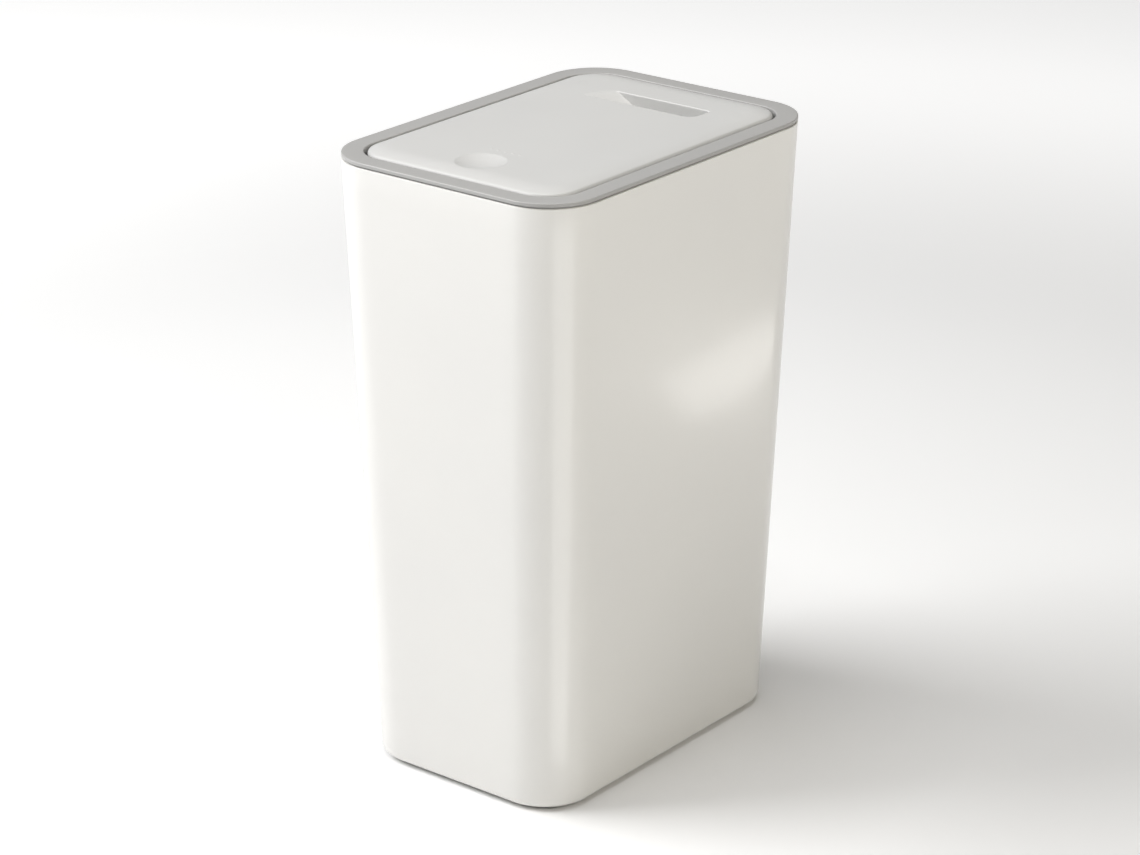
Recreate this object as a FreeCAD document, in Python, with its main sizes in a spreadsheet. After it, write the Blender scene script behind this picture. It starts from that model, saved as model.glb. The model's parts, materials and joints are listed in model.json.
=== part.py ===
"""Press-top slim waste bin: a tapered tub, a lift-off head and a lid on a push latch.

Frame: millimetres, +Z up, the front (the short side with the finger dimple) faces -Y,
the origin is on the floor under the middle of the tub.
"""
import FreeCAD, Part
import Sketcher
import math
import os

doc = FreeCAD.newDocument("press_top_bin")

# ---------------------------------------------------------------- driving dimensions
DIMENSIONS = {
    # tub
    "rim_width": 176.6,        # across X at the top
    "rim_depth": 249.0,        # along Y at the top
    "rim_radius": 33.8,        # vertical corners at the top
    "base_width": 150.4,
    "base_depth": 226.0,
    "base_radius": 32.0,
    "rim_top": 380.0,          # top face of the grey ring
    "barrel_top": 376.8,       # lip of the tub
    "foot_proud": 1.5,         # underside of the tub above the floor
    "wall": 2.2,
    "floor_thickness": 3.0,
    "base_edge_radius": 5.0,
    "inner_edge_radius": 3.5,
    "lip_radius": 0.8,
    "base_panel_inset": 28.0,  # raised middle of the underside
    "base_panel_rise": 1.0,
    "foot_radius": 8.0,
    "foot_recess": 1.0,
    "foot_play": 0.1,
    "foot_x": 56.0,
    "foot_y": 94.0,
    "foot_edge_radius": 0.6,
    # grey ring
    "ring_face": 12.5,         # width of the ring's flat top
    "opening_radius": 22.8,
    "ring_thickness": 2.2,
    "ring_wall": 1.8,
    "ring_wall_bottom": 366.0,
    "ring_edge_radius": 0.6,
    # collar under the ring
    "flange_inset": 1.0,       # leaves the shadow seam
    "collar_play": 0.2,        # between the ring's wall and the collar's wall
    "collar_wall": 1.6,
    "ledge_reach": 6.5,        # from the opening's edge inwards
    "ledge_top": 365.5,
    "ledge_thickness": 1.8,
    "skirt_inset": 2.8,
    "skirt_thickness": 1.8,
    "skirt_bottom": 345.0,
    # lid
    "lid_gap": 2.1,
    "lid_crown": 2.2,          # middle of the lid above the ring
    "crown_run": 16.0,         # how far in from the edge the crown is reached
    "lid_edge_radius": 2.6,
    "crown_radius": 45.0,
    "lid_wall": 2.2,
    "lid_bottom": 370.0,
    "lid_under": 377.8,
    "crown_under": 379.9,
    "crown_under_inset": 21.0,
    "dimple_y": -84.0,
    "dimple_radius": 15.0,
    "dimple_depth": 2.5,
    "dimple_pad_radius": 17.5,
    "dimple_pad_bottom": 376.9,
    "grip_y": 68.0,
    "grip_width": 18.0,        # along Y
    "grip_half_length": 42.0,  # along X
    "grip_depth": 14.0,
    "grip_wall": 2.0,
    "grip_corner": 7.5,
    "grip_far_corner": 2.0,
    "grip_lead": 12.0,         # shallow lead-in at the ramp's end, along X
    "grip_lead_depth": 1.0,
    "grip_clear": 1.0,         # between the recess's tub and the liner
    "liner_window_left": -26.0,
    "liner_bottom": 372.0,
    "liner_thickness": 1.8,
    "liner_inset": 2.5,
    "liner_rear": 77.5,
    "lid_boss_radius": 3.2,
    "screw_x": 58.0,
    "screw_y_front": -92.0,
    "screw_y_middle": -11.0,
    "screw_y_rear": 70.0,
    "dot_y": -62.0,
    "buffer_x": 35.0,
    "buffer_length": 10.0,
    "buffer_width": 3.0,
    "buffer_height": 1.3,
    "buffer_lead": 0.4,        # the pads start this far in front of the lid's edge
    # hinge
    "hinge_y": 86.0,           # far enough in for the lid's rear to dip inside the ring
    "hinge_z": 373.5,
    "pin_radius": 1.5,
    "pin_play": 0.05,
    "knuckle_radius": 3.6,
    "knuckle_x": 46.0,         # inner face of the lid's knuckle
    "knuckle_length": 10.0,
    "coil_room": 10.0,
    "ear_thickness": 4.0,
    "shelf_x": 52.0,           # inner edge of the hinge shelf
    "shelf_front": 20.0,       # hinge shelf, measured forwards from the pin
    "shelf_rear": 4.5,
    "shelf_overlap": 0.5,      # how far the hinge shelf runs under the ring's wall
    "press_travel": 2.7,       # the whole lid sinks this far; its pins ride in slots
    "ear_crest": 2.4,          # top of the ear, above the pin's axis
    "ear_pocket": 1.0,         # relief in the lid above each ear
    "ear_front": 7.0,          # the ear's foot, measured forwards from the pin
    "pin_end": 0.2,            # a pin stands out this far at both ends
    "pin_head_radius": 2.4,
    "pin_head_length": 1.0,
    # push latch
    "latch_y": -96.0,
    "latch_half_width": 10.0,
    "latch_half_depth": 8.0,
    "latch_bottom": 339.7,
    "latch_wall": 2.0,
    "plunger_half_width": 6.0,
    "plunger_half_depth": 5.2,
    "plunger_bottom": 352.0,
    "plunger_top": 369.7,
    "plunger_play": 0.35,
    "slot_half_width": 4.8,
    "slot_half_depth": 3.0,
    "slot_bottom": 357.5,
    "striker_top": 372.0,
    "striker_plate": 2.0,
    "striker_bottom": 360.0,
    "latch_shelf_half_width": 21.0,
    "latch_shelf_rear_y": -84.0,
    "latch_screw_x": 14.5,
    "latch_boss_top": 368.0,
    "latch_boss_radius": 2.8,
    "wing_half_width": 19.0,
    "wing_half_depth": 4.0,
    "wing_thickness": 3.0,
    "striker_half_width": 10.5,
    "striker_half_depth": 4.6,
    "striker_stem_half_width": 4.0,
    "striker_stem_half_depth": 1.0,
    "striker_head_half_depth": 2.0,
    "striker_head_height": 2.0,
    "striker_seat_radius": 2.0,
    "striker_seat_depth": 1.2,
    "striker_boss_radius": 2.4,
    "striker_boss_height": 4.6,
    "striker_screw_x": 7.8,
    "follower_pivot": 5.5,     # above the housing's underside
    "follower_hole": 0.5,
    # shared by several pieces
    "screw_pilot": 1.15,
    "screw_clear": 1.3,
    "striker_hole": 1.05,
    "merge": 0.5,              # overlap that joins a piece to its neighbour
    "over": 1.0,               # how far a cutting tool stands out of what it cuts
}

sheet = doc.addObject("Spreadsheet::Sheet", "Sizes")
for row, (alias, value) in enumerate(DIMENSIONS.items(), start=1):
    sheet.set(f"A{row}", alias)
    sheet.set(f"B{row}", str(value))
    sheet.setAlias(f"B{row}", alias)
doc.recompute()

SUB_PARTS = []


def cell(alias):
    """Value of a sheet cell, for shapes that are set in code."""
    return float(sheet.get(alias))


def named(text):
    """Put the sheet's name in front of every alias of an expression."""
    words = []
    word = ""
    for letter in text + " ":
        if letter.isalnum() or letter == "_":
            word += letter
            continue
        words.append("Sizes." + word if word in DIMENSIONS else word)
        words.append(letter)
        word = ""
    return "".join(words).strip()


def value_of(text):
    """Number that an expression gives with the sheet's values."""
    scratch = doc.getObject("Reader") or doc.addObject("App::FeaturePython", "Reader")
    if "Value" not in scratch.PropertiesList:
        scratch.addProperty("App::PropertyFloat", "Value")
    scratch.setExpression("Value", named(text))
    scratch.recompute()
    return scratch.Value


def sub_part(thing, label):
    """Give a finished sub-part its label and put it on the export list."""
    thing.Label = label
    SUB_PARTS.append(thing)
    return thing


# ---------------------------------------------------------------- sketch helpers
def origin_plane(body, role):
    return next(item for item in body.Origin.OriginFeatures if item.Role == role)


def sketch_at(body, name, height):
    """Empty sketch parallel to the floor, `height` (an expression) above it."""
    sketch = body.newObject("Sketcher::SketchObject", name)
    sketch.AttachmentSupport = [(origin_plane(body, "XY_Plane"), "")]
    sketch.MapMode = "FlatFace"
    sketch.setExpression("AttachmentOffset.Base.z", named(height))
    return sketch


def bind(sketch, kind, geometry, expression, name):
    """Add one driving constraint and bind it to an expression."""
    index = sketch.addConstraint(Sketcher.Constraint(kind, *geometry, value_of(expression)))
    sketch.renameConstraint(index, name)
    sketch.setExpression("Constraints." + name, named(expression))


def rounded_rectangle(sketch, width, depth, radius, tag=""):
    """Rounded rectangle about the sketch's origin; its three sizes are expressions."""
    half_width = value_of(width) / 2
    half_depth = value_of(depth) / 2
    corner = value_of(radius)
    straight_x = half_width - corner
    straight_y = half_depth - corner
    first = sketch.GeometryCount
    turns = [(1, -1), (1, 1), (-1, 1), (-1, -1)]
    starts = [(-straight_x, -half_depth), (half_width, -straight_y),
              (straight_x, half_depth), (-half_width, straight_y)]
    ends = [(straight_x, -half_depth), (half_width, straight_y),
            (-straight_x, half_depth), (-half_width, -straight_y)]
    for side in range(4):
        line = Part.LineSegment(FreeCAD.Vector(*starts[side], 0), FreeCAD.Vector(*ends[side], 0))
        sketch.addGeometry(line)
    for side, (sign_x, sign_y) in enumerate(turns):
        centre = FreeCAD.Vector(sign_x * straight_x, sign_y * straight_y, 0)
        circle = Part.Circle(centre, FreeCAD.Vector(0, 0, 1), corner)
        opening = math.radians(90 * side - 90)
        sketch.addGeometry(Part.ArcOfCircle(circle, opening, opening + math.pi / 2))
    lines = [first + side for side in range(4)]
    arcs = [first + 4 + side for side in range(4)]
    for side in range(4):
        following = (side + 1) % 4
        sketch.addConstraint(Sketcher.Constraint("Tangent", lines[side], 2, arcs[side], 1))
        sketch.addConstraint(Sketcher.Constraint("Tangent", arcs[side], 2, lines[following], 1))
    for side in (0, 2):
        sketch.addConstraint(Sketcher.Constraint("Horizontal", lines[side]))
    for side in (1, 3):
        sketch.addConstraint(Sketcher.Constraint("Vertical", lines[side]))
    for side in (1, 2, 3):
        sketch.addConstraint(Sketcher.Constraint("Equal", arcs[0], arcs[side]))
    sketch.addConstraint(Sketcher.Constraint("Symmetric", lines[0], 1, lines[2], 1, -1, 1))
    bind(sketch, "DistanceX", (lines[3], 1, lines[1], 1), width, "width" + tag)
    bind(sketch, "DistanceY", (lines[0], 1, lines[2], 1), depth, "depth" + tag)
    bind(sketch, "Radius", (arcs[0],), radius, "radius" + tag)


def outline(sketch, inset, tag=""):
    """The ring's outline, moved inwards by `inset`."""
    rounded_rectangle(sketch, f"rim_width - 2 * ({inset})", f"rim_depth - 2 * ({inset})",
                      f"rim_radius - ({inset})", tag)


def opening_outline(sketch, inset, tag=""):
    """The outline of the ring's opening, moved inwards by `inset`."""
    rounded_rectangle(sketch, f"rim_width - 2 * ring_face - 2 * ({inset})",
                      f"rim_depth - 2 * ring_face - 2 * ({inset})",
                      f"opening_radius - ({inset})", tag)


def tapered_outline(sketch, height, inset, tag=""):
    """The tub's outline at a height, moved inwards by `inset`."""
    share = f"(({height}) - foot_proud) / (barrel_top - foot_proud)"
    sizes = []
    for base, top, sides in (("base_width", "rim_width", 2), ("base_depth", "rim_depth", 2),
                             ("base_radius", "rim_radius", 1)):
        sizes.append(f"{base} + ({top} - {base}) * {share} - {sides} * ({inset})")
    rounded_rectangle(sketch, *sizes, tag)


# ---------------------------------------------------------------- feature helpers
def loft(body, kind, name, sections):
    feature = body.newObject("PartDesign::" + kind, name)
    feature.Profile = sections[0]
    feature.Sections = sections[1:]
    feature.Ruled = True
    return feature


def pad(body, name, sketch, length):
    feature = body.newObject("PartDesign::Pad", name)
    feature.Profile = sketch
    feature.setExpression("Length", named(length))
    return feature


def pocket(body, name, sketch, length):
    """Cut from the sketch downwards, and make sure that something was cut."""
    doc.recompute()
    before = body.Shape.Volume
    feature = body.newObject("PartDesign::Pocket", name)
    feature.Profile = sketch
    feature.setExpression("Length", named(length))
    doc.recompute()
    if body.Shape.Volume >= before:
        raise RuntimeError(name + " cut nothing")
    return feature


def level_edges(shape, height, beyond=None):
    """Names of the edges that lie level at a height, and reach beyond (half x, half y)."""
    names = []
    for number, edge in enumerate(shape.Edges, start=1):
        box = edge.BoundBox
        if abs(box.ZMin - height) > 1e-4 or abs(box.ZMax - height) > 1e-4:
            continue
        reach_x = max(abs(box.XMin), abs(box.XMax))
        reach_y = max(abs(box.YMin), abs(box.YMax))
        if beyond is None or reach_x > beyond[0] or reach_y > beyond[1]:
            names.append(f"Edge{number}")
    return names


def fillet(body, name, height, radius, beyond=None):
    """Round the body's edges at a height (an expression)."""
    doc.recompute()
    base = body.Tip
    edges = level_edges(base.Shape, value_of(height), beyond)
    feature = body.newObject("PartDesign::Fillet", name)
    feature.Base = (base, edges)
    feature.setExpression("Radius", named(radius))
    return feature


def box(name, low, high):
    """Block between two corners, each given as three expressions."""
    block = doc.addObject("Part::Box", name)
    for side, axis, start, end in zip(("Length", "Width", "Height"), "xyz", low, high):
        block.setExpression(side, named(f"({end}) - ({start})"))
        block.setExpression("Placement.Base." + axis, named(start))
    return block


def cylinder(name, start, radius, length, along=(0, 0, 1)):
    """Cylinder from a start point (three expressions) along an axis."""
    rod = doc.addObject("Part::Cylinder", name)
    rod.setExpression("Radius", named(radius))
    rod.setExpression("Height", named(length))
    turn = FreeCAD.Rotation(FreeCAD.Vector(0, 0, 1), FreeCAD.Vector(*along))
    rod.Placement = FreeCAD.Placement(FreeCAD.Vector(), turn)
    for axis, value in zip("xyz", start):
        rod.setExpression("Placement.Base." + axis, named(value))
    return rod


def fuse(name, pieces):
    joined = doc.addObject("Part::MultiFuse", name)
    joined.Shapes = pieces
    return joined


def cut(name, base, tools):
    removed = tools[0] if len(tools) == 1 else fuse(name + "Tools", tools)
    result = doc.addObject("Part::Cut", name)
    result.Base = base
    result.Tool = removed
    return result


def group(name, pieces):
    """Identical pieces kept as separate solids of one sub-part."""
    together = doc.addObject("Part::Compound", name)
    together.Links = pieces
    return together


# ---------------------------------------------------------------- tub and feet
FEET = {
    "foot_front_left": (-1, -1),
    "foot_front_right": (1, -1),
    "foot_rear_left": (-1, 1),
    "foot_rear_right": (1, 1),
}


def make_outer_barrel():
    body = doc.addObject("PartDesign::Body", "OuterBarrel")
    outside = []
    for name, height in (("BarrelBase", "foot_proud"), ("BarrelMouth", "barrel_top")):
        sketch = sketch_at(body, name, height)
        tapered_outline(sketch, height, "0")
        outside.append(sketch)
    loft(body, "AdditiveLoft", "BarrelOutside", outside)
    inside = []
    for name, height in (("CavityFloor", "foot_proud + floor_thickness"),
                         ("CavityMouth", "barrel_top")):
        sketch = sketch_at(body, name, height)
        tapered_outline(sketch, height, "wall")
        inside.append(sketch)
    loft(body, "SubtractiveLoft", "BarrelInside", inside)
    fillet(body, "BaseEdge", "foot_proud", "base_edge_radius")
    fillet(body, "InnerEdge", "foot_proud + floor_thickness", "inner_edge_radius")
    beyond = (cell("rim_width") / 2 - cell("wall") / 2, cell("rim_depth") / 2 - cell("wall") / 2)
    fillet(body, "Lip", "barrel_top", "lip_radius", beyond)
    panel = sketch_at(body, "BasePanel", "foot_proud + base_panel_rise")
    rounded_rectangle(panel, "base_width - 2 * base_panel_inset", "base_depth - 2 * base_panel_inset",
                      "base_radius - base_panel_inset")
    pocket(body, "BasePanelRecess", panel, "base_panel_rise")
    recesses = []
    for name, (side, end) in FEET.items():
        start = (f"{side} * foot_x", f"{end} * foot_y", "0")
        recesses.append(cylinder("recess_" + name, start, "foot_radius + foot_play",
                                 "foot_proud + foot_recess"))
    sub_part(cut("Barrel", body, recesses), "outer_barrel")


def make_feet():
    for name, (side, end) in FEET.items():
        pad_disc = cylinder("disc_" + name, (f"{side} * foot_x", f"{end} * foot_y", "0"),
                            "foot_radius", "foot_proud + foot_recess")
        doc.recompute()
        rounded = doc.addObject("Part::Fillet", "rounded_" + name)
        rounded.Base = pad_disc
        radius = cell("foot_edge_radius")
        rounded.Edges = [(int(edge[4:]), radius, radius) for edge in level_edges(pad_disc.Shape, 0)]
        sub_part(rounded, name)


# ---------------------------------------------------------------- head: ring and collar
TAB_PLACES = ([(side, "x", along) for side in (-1, 1) for along in (-70, 0, 70)]
              + [(side, "y", along) for side in (-1, 1) for along in (-32, 32)])
TAB_INSET = 7.5
TAB_HALF_LENGTH = 5.0
TAB_THICKNESS = 1.2
TAB_DROP = 5.0
BARB_DEPTH = 1.0
BARB_HEIGHT = 1.4
SLOT_LEAD = 0.6            # the slot for a tab starts this far outside it
SLOT_SPARE = 1.0           # and is this much wider
SLOT_END_PLAY = 0.5


def along_rim(name, side, axis, along, inset, thickness, half_length, low, high):
    """Block parallel to one side of the rim; `inset` is that of its outer face."""
    outer = f"rim_{'width' if axis == 'x' else 'depth'} / 2 - {inset}"
    inner = f"{outer} - {thickness}"
    across = (inner, outer) if side > 0 else (f"-({outer})", f"-({inner})")
    length = (f"{along} - {half_length}", f"{along} + {half_length}")
    if axis == "x":
        return box(name, (across[0], length[0], low), (across[1], length[1], high))
    return box(name, (length[0], across[0], low), (length[1], across[1], high))


def make_rim_cover():
    body = doc.addObject("PartDesign::Body", "RimRing")
    face = sketch_at(body, "RingFace", "rim_top - ring_thickness")
    outline(face, "0", "_outer")
    opening_outline(face, "0", "_inner")
    pad(body, "RingPlate", face, "ring_thickness")
    wall = sketch_at(body, "RingWall", "ring_wall_bottom")
    opening_outline(wall, "-ring_wall", "_outer")
    opening_outline(wall, "0", "_inner")
    pad(body, "RingSkirt", wall, "rim_top - ring_thickness - ring_wall_bottom")
    fillet(body, "RingEdges", "rim_top", "ring_edge_radius")
    pieces = [body]
    under = "rim_top - ring_thickness"
    for number, (side, axis, along) in enumerate(TAB_PLACES):
        place = (side, axis, along)
        pieces.append(along_rim(f"SnapTab{number}", *place, TAB_INSET, TAB_THICKNESS,
                                TAB_HALF_LENGTH, f"{under} - {TAB_DROP}", under))
        pieces.append(along_rim(f"SnapBarb{number}", *place, TAB_INSET - BARB_DEPTH, BARB_DEPTH,
                                TAB_HALF_LENGTH, f"{under} - {TAB_DROP}",
                                f"{under} - {TAB_DROP} + {BARB_HEIGHT}"))
    sub_part(fuse("RimCover", pieces), "rim_cover")


def spans_of(side, start, length):
    """Low and high X of something `length` long that starts `start` out on one side."""
    if side > 0:
        return start, f"{start} + {length}"
    return f"-({start} + {length})", f"-({start})"


def make_rim_carrier():
    body = doc.addObject("PartDesign::Body", "Collar")
    for kind, name, inset in (("AdditiveLoft", "SkirtOutside", "skirt_inset"),
                              ("SubtractiveLoft", "SkirtInside", "skirt_inset + skirt_thickness")):
        sections = []
        for end, height in (("Low", "skirt_bottom"), ("High", "barrel_top")):
            sketch = sketch_at(body, name + end, height)
            tapered_outline(sketch, height, inset)
            sections.append(sketch)
        loft(body, kind, name, sections)
    flange = sketch_at(body, "Flange", "barrel_top")
    outline(flange, "flange_inset", "_outer")
    opening_outline(flange, "-(ring_wall + collar_play)", "_inner")
    pad(body, "FlangePlate", flange, "rim_top - ring_thickness - barrel_top")
    wall = sketch_at(body, "CollarWall", "ledge_top - ledge_thickness")
    opening_outline(wall, "-(ring_wall + collar_play + collar_wall)", "_outer")
    opening_outline(wall, "-(ring_wall + collar_play)", "_inner")
    pad(body, "CollarWallRing", wall, "rim_top - ring_thickness - ledge_top + ledge_thickness")
    ledge_low = "ledge_top - ledge_thickness"
    ledge_body = doc.addObject("PartDesign::Body", "LedgeBody")
    ledge = sketch_at(ledge_body, "Ledge", ledge_low)
    opening_outline(ledge, "-(ring_wall + collar_play + collar_wall / 2)", "_outer")
    opening_outline(ledge, "ledge_reach", "_inner")
    pad(ledge_body, "LedgeRing", ledge, "ledge_thickness")
    # the lid's rear dips inside the ring as it opens, so the ledge stops short of the hinge
    dip = box("LidDip", ("-rim_width", "hinge_y - shelf_rear", ledge_low + " - over"),
              ("rim_width", "rim_depth", "ledge_top + over"))

    pieces = [body,
              cut("LedgeFront", ledge_body, [dip]),
              box("LatchShelf", ("-latch_shelf_half_width", "-(rim_depth / 2 - ring_face)", ledge_low),
                  ("latch_shelf_half_width", "latch_shelf_rear_y", "ledge_top"))]
    tools = [box("PlungerWindow",
                 ("-(plunger_half_width + plunger_play)",
                  "latch_y - plunger_half_depth - plunger_play", ledge_low + " - over"),
                 ("plunger_half_width + plunger_play",
                  "latch_y + plunger_half_depth + plunger_play", "ledge_top + over"))]
    for side, tag in ((-1, "Left"), (1, "Right")):
        boss = (f"{side} * latch_screw_x", "latch_y", ledge_low)
        boss_height = f"latch_boss_top - ({ledge_low})"
        pieces.append(cylinder("LatchBoss" + tag, boss, "latch_boss_radius", boss_height))
        tools.append(cylinder("LatchPilot" + tag, boss, "screw_pilot", boss_height))
        shelf_length = "rim_width / 2 - ring_face + shelf_overlap - shelf_x"
        low, high = spans_of(side, "shelf_x", shelf_length)
        pieces.append(box("HingeShelf" + tag, (low, "hinge_y - shelf_front", ledge_low),
                          (high, "hinge_y - shelf_rear", "ledge_top")))
        low, high = spans_of(side, "knuckle_x + knuckle_length + coil_room", "ear_thickness")
        pieces.append(box("EarStem" + tag, (low, "hinge_y - ear_front", "ledge_top"),
                          (high, "hinge_y", "hinge_z")))
        pieces.append(box("EarBack" + tag, (low, "hinge_y - knuckle_radius", "hinge_z - press_travel"),
                          (high, "hinge_y + knuckle_radius", "hinge_z")))
        slot_start = low + " - over"
        slot_reach = "ear_thickness + 2 * over"
        slot_radius = "pin_radius + pin_play"
        for end, height in (("Top", "hinge_z"), ("Foot", "hinge_z - press_travel")):
            pieces.append(cylinder("EarBoss" + end + tag, (low, "hinge_y", height),
                                   "knuckle_radius", "ear_thickness", (1, 0, 0)))
            tools.append(cylinder("EarSlot" + end + tag, (slot_start, "hinge_y", height),
                                  slot_radius, slot_reach, (1, 0, 0)))
        tools.append(box("EarSlot" + tag,
                         (slot_start, f"hinge_y - ({slot_radius})", "hinge_z - press_travel"),
                         (high + " + over", f"hinge_y + {slot_radius}", "hinge_z")))
        # the lid swings about the pin at either end of its slot, and the ear's crest clears it
        above = box("EarAbove" + tag, (slot_start, "hinge_y - ear_front", "hinge_z"),
                    (high + " + over", "hinge_y + ear_front", "rim_top"))
        crest = cylinder("EarCrest" + tag, (slot_start, "hinge_y", "hinge_z - press_travel"),
                         "press_travel + ear_crest", slot_reach, (1, 0, 0))
        tools.append(cut("EarTrim" + tag, above, [crest]))
    for number, place in enumerate(TAB_PLACES):
        tools.append(along_rim(f"TabSlot{number}", *place, TAB_INSET - SLOT_LEAD,
                               TAB_THICKNESS + SLOT_SPARE, TAB_HALF_LENGTH + SLOT_END_PLAY,
                               "barrel_top - over", "rim_top - ring_thickness + over"))
    sub_part(cut("Carrier", fuse("CarrierBlank", pieces), tools), "rim_carrier")


def make_buffer_pads():
    pads = []
    for side, tag in ((-1, "Left"), (1, "Right")):
        low, high = spans_of(side, "buffer_x", "buffer_length")
        front = "-(rim_depth / 2 - ring_face) + lid_gap - buffer_lead"
        pads.append(box("Buffer" + tag, (low, front, "ledge_top"),
                        (high, front + " + buffer_width", "ledge_top + buffer_height")))
    sub_part(group("BufferPads", pads), "buffer_pads")


# ---------------------------------------------------------------- hinge
COIL_RADIUS = 2.55
COIL_WIRE = 0.45
COIL_PITCH = 1.2
COIL_START = 1.5           # from the ear's face
COIL_TURNS = 6
SHELF_LEG = (-8.0, -7.35)  # ends of the two legs, from the pin, in Y and Z
LID_LEG = (-11.0, 3.5)


def polar(point):
    return math.hypot(*point), math.atan2(point[1], point[0])


def coil_with_legs(hand):
    """Torsion spring about its own Z axis: leg on the shelf, coil, leg under the lid."""
    shelf_distance, shelf_angle = polar(SHELF_LEG)
    lid_distance, lid_angle = polar(LID_LEG)
    first = shelf_angle + math.acos(COIL_RADIUS / shelf_distance)
    last = lid_angle - math.acos(COIL_RADIUS / lid_distance)
    height = COIL_PITCH * (COIL_TURNS + (last - first) / (2 * math.pi))
    slope = COIL_PITCH / (2 * math.pi * COIL_RADIUS)
    helix = Part.makeHelix(COIL_PITCH, height, COIL_RADIUS)
    helix.rotate(FreeCAD.Vector(), FreeCAD.Vector(0, 0, 1), math.degrees(first))
    shelf_leg = math.sqrt(shelf_distance ** 2 - COIL_RADIUS ** 2)
    lid_leg = math.sqrt(lid_distance ** 2 - COIL_RADIUS ** 2)
    start = FreeCAD.Vector(COIL_RADIUS * math.cos(first), COIL_RADIUS * math.sin(first), 0)
    end = FreeCAD.Vector(COIL_RADIUS * math.cos(last), COIL_RADIUS * math.sin(last), height)
    shelf_tip = FreeCAD.Vector(*SHELF_LEG, -shelf_leg * slope)
    lid_tip = FreeCAD.Vector(*LID_LEG, height + lid_leg * slope)
    legs = (Part.makeLine(shelf_tip, start), Part.makeLine(end, lid_tip))
    path = Part.Wire([legs[0]] + helix.Edges + [legs[1]])
    direction = start - shelf_tip
    if hand < 0:
        path = path.mirror(FreeCAD.Vector(), FreeCAD.Vector(0, 0, 1))
        shelf_tip.z = -shelf_tip.z
        direction.z = -direction.z
    circle = Part.Circle(shelf_tip, direction, COIL_WIRE)
    return path.makePipeShell([Part.Wire(circle.toShape())], True, True)


def make_torsion_springs():
    # the coil's own axis becomes X, and its first two axes become Y and Z
    turn = FreeCAD.Rotation(FreeCAD.Vector(1, 1, 1), 120)
    start = cell("knuckle_x") + cell("knuckle_length") + cell("coil_room") - COIL_START
    for hand, name in ((1, "torsion_spring_left"), (-1, "torsion_spring_right")):
        spring = doc.addObject("Part::Feature", name + "_wire")
        spring.Shape = coil_with_legs(hand)
        place = FreeCAD.Vector(-hand * start, cell("hinge_y"), cell("hinge_z"))
        spring.Placement = FreeCAD.Placement(place, turn)
        sub_part(spring, name)


def make_hinge_pins():
    length = "ear_thickness + coil_room + knuckle_length + 2 * pin_end"
    for side, name in ((-1, "hinge_pin_left"), (1, "hinge_pin_right")):
        low = spans_of(side, "knuckle_x - pin_end", length)[0]
        shank = cylinder(name + "_shank", (low, "hinge_y", "hinge_z"), "pin_radius", length,
                         (1, 0, 0))
        head_low = spans_of(side, "knuckle_x - pin_end - pin_head_length", "pin_head_length")[0]
        head = cylinder(name + "_head", (head_low, "hinge_y", "hinge_z"), "pin_head_radius",
                        "pin_head_length", (1, 0, 0))
        sub_part(fuse(name + "_whole", [shank, head]), name)


# ---------------------------------------------------------------- lid
SCREW_ROWS = ("screw_y_front", "screw_y_middle", "screw_y_rear")
DOT_COUNT = 5
DOT_PITCH = 5.2
DOT_RADIUS = 0.9
DOT_HEIGHT = 0.3
RAMP_RUN = 2.0             # the ramp's length for each millimetre of its depth


def screw_places():
    return [(f"{side} * screw_x", row) for side in (-1, 1) for row in SCREW_ROWS]


def grip_profile(lower, reach, top):
    """Side outline of the grip recess: a shallow lead-in, a ramp, a floor and a steep end."""
    surface = cell("rim_top") + cell("lid_crown")
    lead_end = -cell("grip_half_length") + cell("grip_lead")
    lead_depth = cell("grip_lead_depth")
    floor = surface - cell("grip_depth")
    ramp_end = lead_end + RAMP_RUN * (surface - lead_depth - floor)
    right = cell("grip_half_length") + reach
    if reach == 0:
        points = [(-cell("grip_half_length"), surface), (lead_end, surface - lead_depth)]
    else:
        points = [(lead_end - RAMP_RUN * (top - surface + lead_depth + lower), top)]
    points += [(ramp_end - reach / 4, floor - lower), (right, floor - lower), (right, top)]
    if reach == 0:
        points.append((-cell("grip_half_length"), top))
    return points


def grip_block(name, lower, reach, top, corner):
    """Solid along the grip profile, with its near corner at the steep end rounded."""
    near = cell("grip_y") - cell("grip_width") / 2 - reach
    far = cell("grip_y") + cell("grip_width") / 2 + reach
    corners = [FreeCAD.Vector(x, near, z) for x, z in grip_profile(lower, reach, top)]
    face = Part.Face(Part.makePolygon(corners + corners[:1]))
    solid = face.extrude(FreeCAD.Vector(0, far - near, 0))
    right = cell("grip_half_length") + reach
    for place, radius in ((near, corner), (far, cell("grip_far_corner"))):
        edges = [edge for edge in solid.Edges
                 if edge.BoundBox.XMin > right - 1e-6 and edge.BoundBox.YMax < place + 1e-6
                 and edge.BoundBox.YMin > place - 1e-6]
        solid = solid.makeFillet(radius, edges)
    block = doc.addObject("Part::Feature", name)
    block.Shape = solid
    return block


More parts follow.
